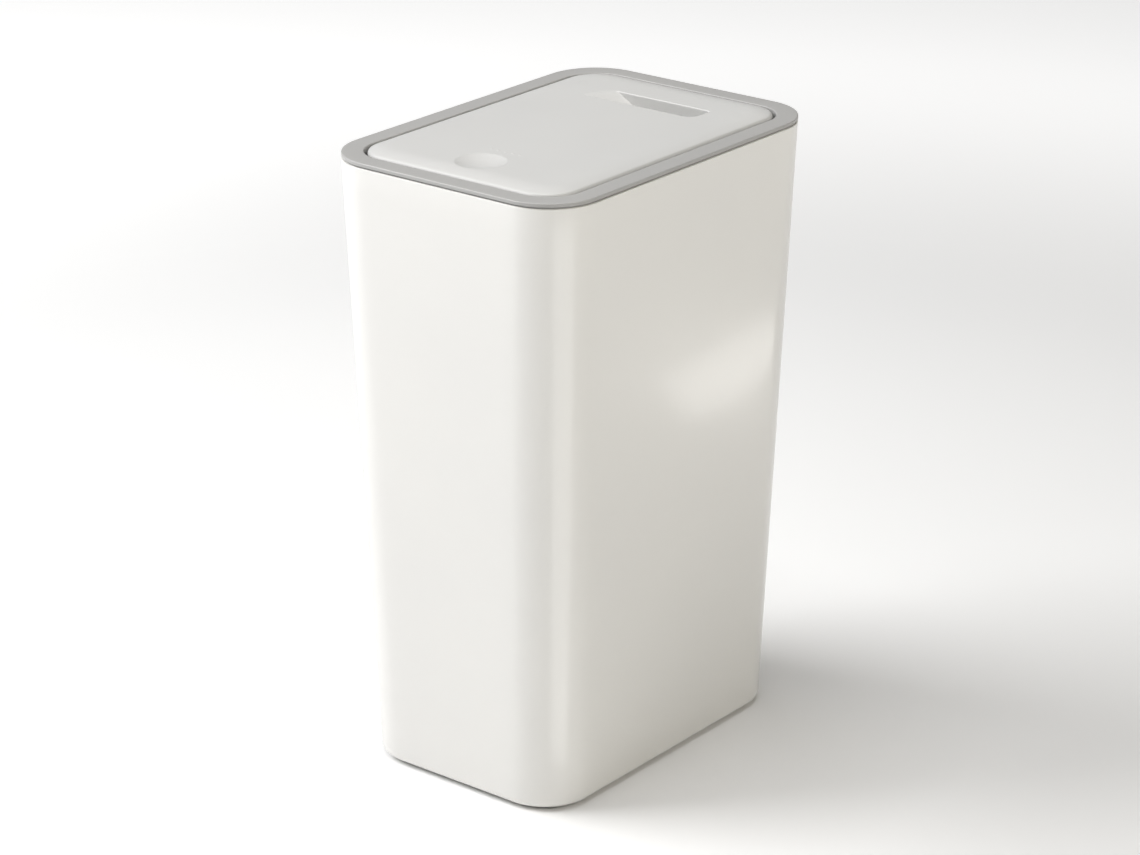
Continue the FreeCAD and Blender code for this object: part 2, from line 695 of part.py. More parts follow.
def make_lid_shell():
    body = doc.addObject("PartDesign::Body", "LidShell")
    side = sketch_at(body, "LidSide", "lid_bottom")
    opening_outline(side, "lid_gap")
    pad(body, "LidBlock", side, "rim_top - lid_bottom")
    crown = []
    for name, height, inset in (("CrownFoot", "rim_top", "lid_gap"),
                                ("CrownTop", "rim_top + lid_crown", "lid_gap + crown_run")):
        sketch = sketch_at(body, name, height)
        opening_outline(sketch, inset)
        crown.append(sketch)
    loft(body, "AdditiveLoft", "Crown", crown)
    fillet(body, "LidEdge", "rim_top", "lid_edge_radius")
    fillet(body, "CrownEdge", "rim_top + lid_crown", "crown_radius")
    hollow = sketch_at(body, "LidHollow", "lid_under")
    opening_outline(hollow, "lid_gap + lid_wall")
    pocket(body, "LidHollowCut", hollow, "lid_under - lid_bottom")
    crown_hollow = sketch_at(body, "CrownHollow", "crown_under")
    opening_outline(crown_hollow, "lid_gap + crown_under_inset - 2")
    pocket(body, "CrownHollowCut", crown_hollow, "crown_under - lid_under")

    surface = "rim_top + lid_crown"
    pieces = [body,
              cylinder("DimplePad", ("0", "dimple_y", "dimple_pad_bottom"), "dimple_pad_radius",
                       "crown_under - dimple_pad_bottom + merge"),
              grip_block("GripTub", cell("grip_wall"), cell("grip_wall"),
                         cell("crown_under") + cell("merge"),
                         cell("grip_corner") + cell("grip_wall"))]
    dimple = doc.addObject("Part::Sphere", "Dimple")
    ball = "(dimple_radius * dimple_radius + dimple_depth * dimple_depth) / (2 * dimple_depth)"
    dimple.setExpression("Radius", named(ball))
    dimple.setExpression("Placement.Base.y", named("dimple_y"))
    dimple.setExpression("Placement.Base.z", named(f"{surface} - dimple_depth + {ball}"))
    tools = [dimple,
             grip_block("GripRecess", 0, 0, value_of(surface) + cell("over"), cell("grip_corner"))]
    for number, (x, y) in enumerate(screw_places()):
        foot = (x, y, "liner_bottom + liner_thickness")
        pieces.append(cylinder(f"LidBoss{number}", foot, "lid_boss_radius",
                               "lid_under - liner_bottom - liner_thickness + merge"))
        tools.append(cylinder(f"LidPilot{number}", (x, y, "liner_bottom"), "screw_pilot",
                              "lid_under - liner_bottom - merge"))
    for number in range(DOT_COUNT):
        across = DOT_PITCH * (number - (DOT_COUNT - 1) / 2)
        pieces.append(cylinder(f"Dot{number}", (str(across), "dot_y", f"{surface} - merge"),
                               str(DOT_RADIUS), f"merge + {DOT_HEIGHT}"))
    for side_sign, tag in ((-1, "Left"), (1, "Right")):
        low, high = spans_of(side_sign, "knuckle_x", "knuckle_length")
        pieces.append(box("KnuckleStem" + tag, (low, "hinge_y - knuckle_radius", "hinge_z"),
                          (high, "hinge_y + knuckle_radius", "crown_under + merge")))
        pieces.append(cylinder("Knuckle" + tag, (low, "hinge_y", "hinge_z"), "knuckle_radius",
                               "knuckle_length", (1, 0, 0)))
        tools.append(cylinder("KnuckleBore" + tag, (low + " - over", "hinge_y", "hinge_z"),
                              "pin_radius + pin_play", "knuckle_length + 2 * over", (1, 0, 0)))
        low, high = spans_of(side_sign, "knuckle_x + knuckle_length + coil_room - over",
                             "ear_thickness + 2 * over")
        tools.append(box("EarPocket" + tag,
                         (low, "hinge_y - knuckle_radius - over", "lid_under - over"),
                         (high, "hinge_y + knuckle_radius + over", "lid_under + ear_pocket")))
    sub_part(cut("Lid", fuse("LidBlank", pieces), tools), "lid_shell")


def make_lid_liner():
    body = doc.addObject("PartDesign::Body", "LidLiner")
    plate = sketch_at(body, "LinerPlate", "liner_bottom")
    opening_outline(plate, "lid_gap + liner_inset")
    pad(body, "LinerSheet", plate, "liner_thickness")
    low = "liner_bottom - over"
    high = "liner_bottom + liner_thickness + over"
    window = "grip_width / 2 + grip_wall + grip_clear"
    tools = [box("LinerRear", ("-rim_width", "liner_rear", low), ("rim_width", "rim_depth", high)),
             box("GripWindow", ("liner_window_left", f"grip_y - ({window})", low),
                 ("grip_half_length + grip_wall + grip_clear", f"grip_y + {window}", high))]
    pieces = [body]
    for number, (x, y) in enumerate(screw_places()):
        tools.append(cylinder(f"LinerHole{number}", (x, y, low), "screw_clear",
                              "liner_thickness + 2 * over"))
    for side, tag in ((-1, "Left"), (1, "Right")):
        place = (f"{side} * striker_screw_x", "latch_y")
        pieces.append(cylinder("StrikerBoss" + tag, (*place, "liner_bottom"),
                               "striker_boss_radius", "striker_boss_height"))
        tools.append(cylinder("StrikerPilot" + tag, (*place, low), "striker_hole",
                              "striker_boss_height + 2 * over"))
    sub_part(cut("Liner", fuse("LinerBlank", pieces), tools), "lid_liner")


SOCKET_RADIUS = 0.7


def make_screws(name, places, under_head, head, shank):
    """Screws driven upwards; `head` and `shank` are (radius, length).

    The head's flat upper face is at `under_head`.
    """
    head_radius, head_height = head
    shank_radius, shank_length = shank
    screws = []
    for number, (x, y) in enumerate(places):
        head = cylinder(f"{name}_head{number}", (x, y, f"{under_head} - {head_height}"),
                        str(head_radius), str(head_height))
        shank = cylinder(f"{name}_shank{number}", (x, y, f"{under_head} - {head_height / 2}"),
                         str(shank_radius), f"{head_height / 2} + {shank_length}")
        socket = cylinder(f"{name}_socket{number}", (x, y, f"{under_head} - {head_height}"),
                          str(SOCKET_RADIUS), str(head_height / 2))
        whole = fuse(f"{name}_whole{number}", [head, shank])
        screws.append(cut(f"{name}_screw{number}", whole, [socket]))
    sub_part(group(name + "_group", screws), name)


# ---------------------------------------------------------------- push latch
JAW_SLIT = 0.6             # half its width
JAW_SLIT_FLOOR = 2.5       # above the bottom of the striker's slot
GROOVE = 0.8               # half the width of the cam groove
GROOVE_DEPTH = 1.2
GROOVE_TOP = 4.0           # below the plunger's top
TOOTH_HALF_LENGTH = 3.5
TOOTH_ROOT = 0.2           # how far a jaw's tooth is set into the slot's wall
TOOTH_REACH = 0.35         # and how far it stands out of it
TOOTH_LOW = 5.0            # both below the plunger's top
TOOTH_HIGH = 3.6
FOLLOWER_WIRE = 0.4
FOLLOWER_INSET = 0.5       # from the plunger's rear face inwards
FOLLOWER_RISE = 12.5
FOLLOWER_END = 0.3         # left of the pivot outside the housing
LATCH_SPRING_WIRE = 0.4
LATCH_SPRING_RADIUS = 2.6
LATCH_SPRING_TURNS = 5


def make_striker():
    plate_low = "striker_top - striker_plate"
    stem = ("striker_stem_half_width", "striker_stem_half_depth")
    head = ("striker_stem_half_width", "striker_head_half_depth")
    pieces = [box("StrikerPlate",
                  ("-striker_half_width", "latch_y - striker_half_depth", plate_low),
                  ("striker_half_width", "latch_y + striker_half_depth", "striker_top"))]
    for name, (half_width, half_depth), top in (
            ("StrikerStem", stem, "striker_top"),
            ("StrikerHead", head, "striker_bottom + striker_head_height")):
        pieces.append(box(name, ("-" + half_width, "latch_y - " + half_depth, "striker_bottom"),
                          (half_width, "latch_y + " + half_depth, top)))
    tools = []
    for side, tag in ((-1, "Left"), (1, "Right")):
        place = (f"{side} * striker_screw_x", "latch_y", plate_low + " - over")
        tools.append(cylinder("StrikerHole" + tag, place, "striker_hole",
                              "striker_plate + 2 * over"))
        tools.append(cylinder("StrikerSeat" + tag, place, "striker_seat_radius",
                              "striker_seat_depth + over"))
    sub_part(cut("Striker", fuse("StrikerBlank", pieces), tools), "striker")


def make_latch_housing():
    top = "ledge_top - ledge_thickness"
    pieces = [box("HousingBody", ("-latch_half_width", "latch_y - latch_half_depth", "latch_bottom"),
                  ("latch_half_width", "latch_y + latch_half_depth", top)),
              box("HousingWings",
                  ("-wing_half_width", "latch_y - wing_half_depth", top + " - wing_thickness"),
                  ("wing_half_width", "latch_y + wing_half_depth", top))]
    tools = [box("HousingCavity",
                 ("-(plunger_half_width + plunger_play)", "latch_y - plunger_half_depth - plunger_play",
                  "latch_bottom + latch_wall"),
                 ("plunger_half_width + plunger_play", "latch_y + plunger_half_depth + plunger_play",
                  top + " + over")),
             cylinder("FollowerHole", ("0", "latch_y", "latch_bottom + follower_pivot"),
                      "follower_hole", "2 * latch_half_depth", (0, 1, 0))]
    for side, tag in ((-1, "Left"), (1, "Right")):
        place = (f"{side} * latch_screw_x", "latch_y", top + " - wing_thickness - over")
        tools.append(cylinder("HousingHole" + tag, place, "screw_clear",
                              "wing_thickness + 2 * over"))
    sub_part(cut("Housing", fuse("HousingBlank", pieces), tools), "latch_housing")


def make_latch_plunger():
    body = box("PlungerBody", ("-plunger_half_width", "latch_y - plunger_half_depth", "plunger_bottom"),
               ("plunger_half_width", "latch_y + plunger_half_depth", "plunger_top"))
    tools = [box("StrikerSlot", ("-slot_half_width", "latch_y - slot_half_depth", "slot_bottom"),
                 ("slot_half_width", "latch_y + slot_half_depth", "plunger_top + over")),
             box("JawSlit", ("-(plunger_half_width + over)", f"latch_y - {JAW_SLIT}",
                             f"slot_bottom + {JAW_SLIT_FLOOR}"),
                 ("plunger_half_width + over", f"latch_y + {JAW_SLIT}", "plunger_top + over")),
             box("CamGroove", (f"-{GROOVE}", f"latch_y + plunger_half_depth - {GROOVE_DEPTH}",
                               "plunger_bottom - over"),
                 (f"{GROOVE}", "latch_y + plunger_half_depth + over",
                  f"plunger_top - {GROOVE_TOP}"))]
    teeth = []
    for side, tag in ((-1, "Front"), (1, "Rear")):
        root = side * (cell("slot_half_depth") + TOOTH_ROOT)
        tip = side * (cell("slot_half_depth") - TOOTH_REACH)
        low, high = sorted((root, tip))
        teeth.append(box("Jaw" + tag,
                         (f"-{TOOTH_HALF_LENGTH}", f"latch_y + {low}", f"plunger_top - {TOOTH_LOW}"),
                         (f"{TOOTH_HALF_LENGTH}", f"latch_y + {high}",
                          f"plunger_top - {TOOTH_HIGH}")))
    slotted = cut("PlungerSlotted", body, tools)
    sub_part(fuse("Plunger", [slotted] + teeth), "latch_plunger")


def make_latch_follower():
    wire = str(FOLLOWER_WIRE)
    line = f"latch_y + plunger_half_depth - {FOLLOWER_INSET}"
    foot = "latch_bottom + follower_pivot"
    rod = cylinder("FollowerRod", ("0", line, foot), wire, str(FOLLOWER_RISE))
    pivot = cylinder("FollowerPivot", ("0", line, foot), wire,
                     f"latch_half_depth - plunger_half_depth + {FOLLOWER_END}", (0, 1, 0))
    elbow = doc.addObject("Part::Sphere", "FollowerElbow")
    elbow.setExpression("Radius", wire)
    elbow.setExpression("Placement.Base.y", named(line))
    elbow.setExpression("Placement.Base.z", named(foot))
    sub_part(fuse("Follower", [rod, pivot, elbow]), "latch_follower")


def make_latch_spring():
    low = cell("latch_bottom") + cell("latch_wall") + LATCH_SPRING_WIRE
    high = cell("plunger_bottom") - LATCH_SPRING_WIRE
    helix = Part.makeHelix((high - low) / LATCH_SPRING_TURNS, high - low, LATCH_SPRING_RADIUS)
    circle = Part.Circle(FreeCAD.Vector(LATCH_SPRING_RADIUS, 0, 0), FreeCAD.Vector(0, 1, 0),
                         LATCH_SPRING_WIRE)
    spring = doc.addObject("Part::Feature", "LatchSpringWire")
    spring.Shape = Part.Wire(helix.Edges).makePipeShell([Part.Wire(circle.toShape())], True, True)
    spring.Placement = FreeCAD.Placement(FreeCAD.Vector(0, cell("latch_y"), low), FreeCAD.Rotation())
    sub_part(spring, "latch_spring")


# ---------------------------------------------------------------- assembly
make_outer_barrel()
make_feet()
make_rim_cover()
make_rim_carrier()
make_buffer_pads()
make_torsion_springs()
make_hinge_pins()
make_lid_shell()
make_lid_liner()
make_screws("lid_screws", screw_places(), "liner_bottom", (2.6, 1.4), (1.1, 4.9))
make_striker()
make_screws("striker_screws", [(f"{side} * striker_screw_x", "latch_y") for side in (-1, 1)],
            "striker_top - striker_plate + striker_seat_depth", (1.9, 1.2), (1.0, 4.6))
make_latch_housing()
make_latch_plunger()
make_latch_follower()
make_latch_spring()
make_screws("latch_screws", [(f"{side} * latch_screw_x", "latch_y") for side in (-1, 1)],
            "ledge_top - ledge_thickness - wing_thickness", (2.4, 1.4), (1.1, 6.6))

doc.recompute()
for item in doc.Objects:
    if "Invalid" in item.State or "Error" in item.State:
        raise RuntimeError(f"{item.Name} failed: {item.State}")
for thing in SUB_PARTS:
    if thing.Shape.isNull() or not thing.Shape.isValid():
        raise RuntimeError(f"{thing.Label} has no valid shape")

os.makedirs("parts", exist_ok=True)
for thing in SUB_PARTS:
    thing.Shape.exportStep(f"parts/{thing.Label}.step")
    span = thing.Shape.BoundBox
    print(f"{thing.Label:22s} solids {len(thing.Shape.Solids)}"
          f"  volume {thing.Shape.Volume / 1000:8.2f} cm3  z {span.ZMin:7.2f} {span.ZMax:7.2f}")
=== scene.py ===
"""Looks of the press-top slim waste bin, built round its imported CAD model.

Metres, +Z up. The front, the short side with the finger dimple, faces -Y.
"""
import bpy
import bmesh
import json
import math
from mathutils import Matrix, Vector
from mathutils.geometry import delaunay_2d_cdt


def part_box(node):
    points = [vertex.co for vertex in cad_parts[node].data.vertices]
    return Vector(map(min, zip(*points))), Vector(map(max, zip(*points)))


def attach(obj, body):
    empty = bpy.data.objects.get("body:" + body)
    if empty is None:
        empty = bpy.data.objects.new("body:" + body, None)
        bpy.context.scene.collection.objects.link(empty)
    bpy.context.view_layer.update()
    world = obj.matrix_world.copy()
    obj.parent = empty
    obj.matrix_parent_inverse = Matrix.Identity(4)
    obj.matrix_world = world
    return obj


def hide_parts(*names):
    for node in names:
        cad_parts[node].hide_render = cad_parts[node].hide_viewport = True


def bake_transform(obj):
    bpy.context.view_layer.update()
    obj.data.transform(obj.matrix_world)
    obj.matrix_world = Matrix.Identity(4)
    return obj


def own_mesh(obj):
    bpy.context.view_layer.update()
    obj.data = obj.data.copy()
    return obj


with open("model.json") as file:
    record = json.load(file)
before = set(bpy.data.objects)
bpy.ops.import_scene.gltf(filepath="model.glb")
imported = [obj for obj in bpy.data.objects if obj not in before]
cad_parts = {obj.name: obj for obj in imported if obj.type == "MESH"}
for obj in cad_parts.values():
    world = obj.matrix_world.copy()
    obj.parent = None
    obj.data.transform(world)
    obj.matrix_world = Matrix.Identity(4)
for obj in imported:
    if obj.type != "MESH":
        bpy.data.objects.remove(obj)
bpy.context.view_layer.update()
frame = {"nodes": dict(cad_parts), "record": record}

MM = 0.001

# -------- what the frame says
_, RIM_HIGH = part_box("rim_cover")
TUB_LOW, TUB_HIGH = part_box("outer_barrel")
_, LID_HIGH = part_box("lid_shell")
LINER_LOW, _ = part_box("lid_liner")
CARRIER_LOW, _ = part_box("rim_carrier")

BEHAVIOUR = frame["record"]["behaviour"]
BODY_OF = {node: body for body, nodes in BEHAVIOUR["bodies"].items() for node in nodes}

# -------- sizes that a box does not give
RIM_RADIUS = 33.8 * MM  # vertical corners of the rim and of the tub's lip
BASE_HALF = Vector((75.2, 113.0)) * MM
BASE_RADIUS = 32.0 * MM
TUB_WALL = 2.2 * MM
TUB_FLOOR = 3.0 * MM
BASE_EDGE = 5.0 * MM  # rounding round the base, outside
INNER_EDGE = 3.5 * MM  # and inside
LIP_EDGE = 0.8 * MM
WALL_BOW = 0.25 * MM  # how far the walls sink in between their corners
PANEL_INSET = 28.0 * MM  # raised panel in the underside
PANEL_RADIUS = 10.0 * MM
FOOT_PLAY = 0.1 * MM
HINGE_Y = 86.0 * MM
HINGE_Z = 373.5 * MM

RING_FACE = 12.5 * MM  # from the rim's edge to the opening that holds the lid
OPENING_RADIUS = 22.8 * MM
RING_PLATE = 2.2 * MM
RING_WALL = 1.8 * MM  # wall that hangs down round the opening
RING_WALL_RISE = 21.0 * MM  # from the carrier's foot to the foot of that wall
RING_EDGE = 0.7 * MM

LID_RADIUS = 20.7 * MM
LID_BOTTOM = 370.0 * MM
LID_EDGE = 2.6 * MM
LID_WALL = 2.2 * MM
LID_UNDER = 377.8 * MM
CROWN_RISE = 2.2 * MM
CROWN_RUN = 14.0 * MM
DIMPLE_CENTRE = Vector((0.0, -84.0)) * MM
DIMPLE_RADIUS = 15.0 * MM
DIMPLE_DEPTH = 2.5 * MM
DIMPLE_PAD_RADIUS = 17.5 * MM
DIMPLE_PAD_DROP = 0.9 * MM
DOT_PLACES = [Vector((5.2 * step, -62.0)) * MM for step in (-2, -1, 0, 1, 2)]
DOT_RADIUS = 0.95 * MM
DOT_RISE = 0.28 * MM
GRIP_CENTRE = Vector((0.0, 68.0)) * MM
GRIP_HALF = Vector((42.0, 9.0)) * MM
GRIP_DEPTH = 14.0 * MM
GRIP_WALL = 2.0 * MM
GRIP_CORNERS = {(1, -1): 7.5 * MM, (1, 1): 2.4 * MM, (-1, 1): 2.4 * MM, (-1, -1): 2.4 * MM}
LINER_TOP = 373.8 * MM

# -------- fineness of the meshes
WALL_ROWS = 24
TURN_STEPS = 40  # points along one turn of a coil, and round a screw
WELD = 2e-6  # metres within which points become one
WIRE_WELD = 1e-7
TURNS = ((1, -1), (1, 1), (-1, 1), (-1, -1))  # corners in the order that outlines run
MIDDLE = Vector((0, 0))


# -------- outlines and meshes
def in_mm(rows):
    """Rows of millimetres, such as the points of a profile, in metres."""
    return [tuple(value * MM for value in row) for row in rows]


def steps_between(low, high, count):
    return [low + (high - low) * step / count for step in range(count + 1)]


def grid_points(half_x, half_y, pitch):
    across = int(2 * half_x / pitch)
    along = int(2 * half_y / pitch)
    return [Vector((x, y)) for x in steps_between(-half_x, half_x, across)
            for y in steps_between(-half_y, half_y, along)]


def corner_arc(centre, radius, turn, steps):
    """Plan points of one rounded corner, the one that TURNS names with this index."""
    angles = [math.radians(90 * (turn - 1 + step / steps)) for step in range(steps + 1)]
    return [centre + radius * Vector((math.cos(angle), math.sin(angle))) for angle in angles]


def outline(half_x, half_y, radius, corner_steps=20, side_steps=12):
    """Plan points of a rounded rectangle, counter-clockwise, evenly split along each side."""
    points = []
    for turn, (sign_x, sign_y) in enumerate(TURNS):
        centre = Vector((sign_x * (half_x - radius), sign_y * (half_y - radius)))
        points += corner_arc(centre, radius, turn, corner_steps)
        straight = 2 * (half_x - radius if turn % 2 else half_y - radius)
        ahead = Vector((-math.sin(math.radians(90 * turn)), math.cos(math.radians(90 * turn))))
        corner_end = points[-1]
        points += [corner_end + ahead * straight * step / side_steps for step in range(1, side_steps)]
    return points


def circle(centre, radius, steps=48):
    turns = [2 * math.pi * step / steps for step in range(steps)]
    return [centre + radius * Vector((math.cos(turn), math.sin(turn))) for turn in turns]


def arc_profile(inset, height, radius, first, last, steps=8):
    """(inset, height) points of an arc; angle 180 points out of the wall and 90 points up."""
    points = []
    for step in range(steps + 1):
        angle = math.radians(first + (last - first) * step / steps)
        points.append((inset + radius * math.cos(angle), height + radius * math.sin(angle)))
    return points


def lifted(points, height):
    return [Vector((point.x, point.y, height)) for point in points]


def skin(rings, closed=False):
    """Quads between rings of equally many points; closed joins the last ring to the first."""
    count = len(rings[0])
    points = [point for ring in rings for point in ring]
    faces = []
    for row in range(len(rings) if closed else len(rings) - 1):
        below = row * count
        above = (row + 1) % len(rings) * count
        for step in range(count):
            following = (step + 1) % count
            faces.append((below + step, below + following, above + following, above + step))
    return points, faces


def capped(rings):
    """A closed shape: quads between the rings, and one flat face at each end."""
    points, faces = skin(rings)
    count = len(rings[0])
    faces.append(tuple(range(count))[::-1])
    faces.append(tuple(range(len(points) - count, len(points))))
    return points, faces


def drape(loops, loose=(), height=None, hole=None):
    """Triangles between closed loops and loose points that don't overlap in plan.

    Heights are the points' own, or those that a function of the plan point gives.
    The hole is a test that says whether a plan point lies in it.
    """
    points = []
    edges = []
    for loop in loops:
        first = len(points)
        edges += [(first + step, first + (step + 1) % len(loop)) for step in range(len(loop))]
        points += loop
    points += loose
    flat = [point.xy for point in points]
    made, _, faces, origins, _, _ = delaunay_2d_cdt(flat, edges, [], 1, 1e-7)
    placed = []
    for spot, sources in zip(made, origins):
        placed.append(Vector((spot.x, spot.y, height(spot) if height else points[sources[0]].z)))
    if hole:
        centres = [sum((made[corner] for corner in face), MIDDLE) / len(face) for face in faces]
        faces = [face for face, centre in zip(faces, centres) if not hole(centre)]
    return placed, faces


def revolve(profile, steps):
    """Turn (radius, height) points about Z; a radius of zero closes the end."""
    return skin([lifted(circle(MIDDLE, max(radius, 1e-6), steps), height) for radius, height in profile])


def mesh_of(shapes, weld=WELD):
    """One welded mesh from several (points, faces) shapes."""
    built = bmesh.new()
    for points, faces in shapes:
        corners = [built.verts.new(point) for point in points]
        for face in faces:
            built.faces.new([corners[index] for index in face])
    bmesh.ops.remove_doubles(built, verts=built.verts, dist=weld)
    bmesh.ops.dissolve_degenerate(built, edges=built.edges, dist=weld / 2)
    bmesh.ops.recalc_face_normals(built, faces=built.faces)
    mesh = bpy.data.meshes.new("mesh")
    built.to_mesh(mesh)
    built.free()
    return mesh


def new_object(name, data):
    made = bpy.data.objects.new(name, data)
    bpy.context.scene.collection.objects.link(made)
    return made


def piece(name, node, mesh, material, bodies=None, sharp=32.0):
    """Finish a mesh as a piece that stands for a CAD node: shading, material and body.

    It rides on the node's body; when bodies (body, body, start, end) are given, its transform is only baked
    in and it rides on none of them.
    """
    made = new_object(name, mesh)
    mesh.name = name
    if not mesh.has_custom_normals:
        mesh.shade_smooth()
        mesh.set_sharp_from_angle(angle=math.radians(sharp))
    mesh.materials.clear()
    mesh.materials.append(material)
    if bodies:
        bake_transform(made)
    else:
        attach(made, BODY_OF[node])
    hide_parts(node)
    return made


# -------- materials
DARKER = 0.988  # shares of a plastic's colour that it wanders between
LIGHTER = (1.012, 1.012, 1.006)


def add(tree, kind, inputs=None, **settings):
    """New shader node; an input given as a socket is linked, and any other value is set."""
    made = tree.nodes.new(kind)
    for key, value in settings.items():
        setattr(made, key, value)
    for key, value in (inputs or {}).items():
        if isinstance(value, bpy.types.NodeSocket):
            tree.links.new(value, made.inputs[key])
        else:
            made.inputs[key].default_value = value
    return made


def shader(name, **constants):
    """Material with one Principled shader whose constants are set on its own sockets."""
    material = bpy.data.materials.new(name)
    material.use_nodes = True
    tree = material.node_tree
    principled = next(item for item in tree.nodes if item.type == "BSDF_PRINCIPLED")
    for key, value in constants.items():
        principled.inputs[key.replace("_", " ")].default_value = value
    place = add(tree, "ShaderNodeTexCoord").outputs["Object"]
    return material, tree, principled, place


def noise(tree, place, scale, detail=2.0, stretch=None):
    if stretch:
        place = add(tree, "ShaderNodeMapping", {"Vector": place, "Scale": stretch}).outputs["Vector"]
    return add(tree, "ShaderNodeTexNoise", {"Vector": place, "Scale": scale, "Detail": detail}).outputs["Fac"]


def spread(tree, factor, low, high):
    """Map a noise of about 0.3 to 0.7 to low..high."""
    return add(tree, "ShaderNodeMapRange", {"Value": factor, "From Min": 0.3, "From Max": 0.7,
                                            "To Min": low, "To Max": high}).outputs["Result"]


def blend_colours(tree, factor, first, second):
    mixed = add(tree, "ShaderNodeMix", {"Factor": factor}, data_type="RGBA")
    for socket in mixed.inputs:
        if socket.type == "RGBA":
            socket.default_value = (*(first if socket.identifier.startswith("A") else second), 1)
    return next(socket for socket in mixed.outputs if socket.type == "RGBA")


def clouded(tree, principled, cloud, first, second):
    """Let a noise blend the shader's colour between two."""
    colour = blend_colours(tree, spread(tree, cloud, 0.0, 1.0), first, second)
    tree.links.new(colour, principled.inputs["Base Color"])


def bump(tree, height, strength, distance, below=None):
    inputs = {"Height": height, "Strength": strength, "Distance": distance}
    if below is not None:
        inputs["Normal"] = below
    return add(tree, "ShaderNodeBump", inputs).outputs["Normal"]


def moulded(name, colour, rough, grain=0.0, ripple=0.0, coat=0.0):
    """Injection-moulded plastic: slow colour drift, uneven gloss, spark grain and flow ripple."""
    material, tree, principled, place = shader(name, Coat_Weight=coat, Coat_Roughness=0.12)
    cloud = noise(tree, place, scale=9.0, detail=3.0)
    darker = tuple(value * DARKER for value in colour)
    lighter = tuple(value * share for value, share in zip(colour, LIGHTER))
    clouded(tree, principled, cloud, darker, lighter)
    smear = noise(tree, place, scale=34.0, detail=4.0, stretch=(1.0, 1.0, 0.35))
    tree.links.new(spread(tree, smear, rough * 0.96, rough * 1.05), principled.inputs["Roughness"])
    normal = None
    if ripple:
        normal = bump(tree, noise(tree, place, scale=14.0, detail=1.0), ripple, 0.4 * MM)
    if grain:
        normal = bump(tree, noise(tree, place, scale=1500.0, detail=3.0), grain, 0.05 * MM, normal)
    tree.links.new(normal, principled.inputs["Normal"])
    return material


def metal(name, colour, rough, stretch=(1.0, 1.0, 1.0)):
    """Drawn or plated steel: fine draw lines and a little stain."""
    material, tree, principled, place = shader(name, Metallic=1.0)
    stain = noise(tree, place, scale=220.0, detail=3.0)
    clouded(tree, principled, stain, tuple(value * 0.8 for value in colour), colour)
    lines = noise(tree, place, scale=900.0, stretch=stretch)
    tree.links.new(spread(tree, lines, rough * 0.75, rough * 1.3), principled.inputs["Roughness"])
    tree.links.new(bump(tree, lines, 0.12, 0.05 * MM), principled.inputs["Normal"])
    return material


TUB_WHITE = moulded("glossy_warm_white", (0.83, 0.822, 0.80), 0.30, ripple=0.03, coat=0.5)
# the lid's white is set far darker than the tub's: painted shade for the dimmer light on the lid's top
LID_WHITE_PAINTED_SHADE = moulded("satin_white_painted_shade", (0.59, 0.588, 0.58), 0.42, grain=0.05)
RIM_GREY = moulded("satin_grey", (0.42, 0.416, 0.41), 0.36, grain=0.06)
COLLAR_GREY = moulded("collar_grey", (0.30, 0.298, 0.294), 0.5, grain=0.10)
LINER_WHITE = moulded("liner_white", (0.74, 0.735, 0.72), 0.5, grain=0.08)
LATCH_BLACK = moulded("latch_black", (0.022, 0.022, 0.024), 0.38, grain=0.05)
PLUNGER_GREY = moulded("plunger_grey", (0.35, 0.36, 0.37), 0.35, grain=0.04)
RUBBER = moulded("foot_rubber", (0.11, 0.11, 0.112), 0.75, grain=0.25)
BUFFER = moulded("buffer_rubber", (0.16, 0.16, 0.16), 0.8, grain=0.25)
SPRING_STEEL = metal("spring_steel", (0.60, 0.60, 0.62), 0.26)
PIN_STEEL = metal("pin_steel", (0.68, 0.68, 0.69), 0.22, (0.1, 1.0, 1.0))
SCREW_STEEL = metal("screw_steel", (0.62, 0.60, 0.56), 0.30)


# -------- tub
TUB_TOP = TUB_HIGH.z
TUB_BOTTOM = TUB_LOW.z
FEET = ["foot_front_left", "foot_front_right", "foot_rear_left", "foot_rear_right"]
# profiles in millimetres; each point is a radius or a distance outwards, and a height
PANEL_STEP = ((0.8, 0.0), (0.0, 0.25), (-0.4, 1.0))
PANEL_RISE = PANEL_STEP[-1][1] * MM
GATE_BELOW = ((7.0, 0.0), (6.4, -0.5), (2.4, -0.5), (2.0, 0.15), (1.2, 0.15))
GATE_INSIDE = ((5.0, 0.4), (4.6, 0.1), (2.2, 0.1), (1.9, 0.5), (1.2, 0.55))
FLOOR_STEP = ((-8.0, 0.0), (-9.5, 0.35), (-14.0, 0.4), (-22.0, 0.4))
FLOOR_RADIUS = 26.5 * MM
TREAD_GROOVE = ((0.55, 0.0), (0.3, 0.4), (-0.3, 0.4), (-0.55, 0.0))
TREAD_RADII = (5.4 * MM, 2.9 * MM)
FOOT_EDGE = 0.6 * MM


def tub_outline(height, inset):
    """Outline of the tapered tub at a height, moved inwards, its sides bowed in a little."""
    share = (height - TUB_BOTTOM) / (TUB_TOP - TUB_BOTTOM)
    half = BASE_HALF.lerp(TUB_HIGH.xy, share) - Vector((inset, inset))
    radius = BASE_RADIUS + (RIM_RADIUS - BASE_RADIUS) * share - inset
    bow = WALL_BOW * 4 * share * (1 - share)
    points = []
    for point in outline(half.x, half.y, radius):
        along_y = max(0.0, 1 - (point.y / (half.y - radius)) ** 2)
        along_x = max(0.0, 1 - (point.x / (half.x - radius)) ** 2)
        shift = Vector((math.copysign(bow * along_y, point.x), math.copysign(bow * along_x, point.y)))
        points.append(point - shift)
    return points


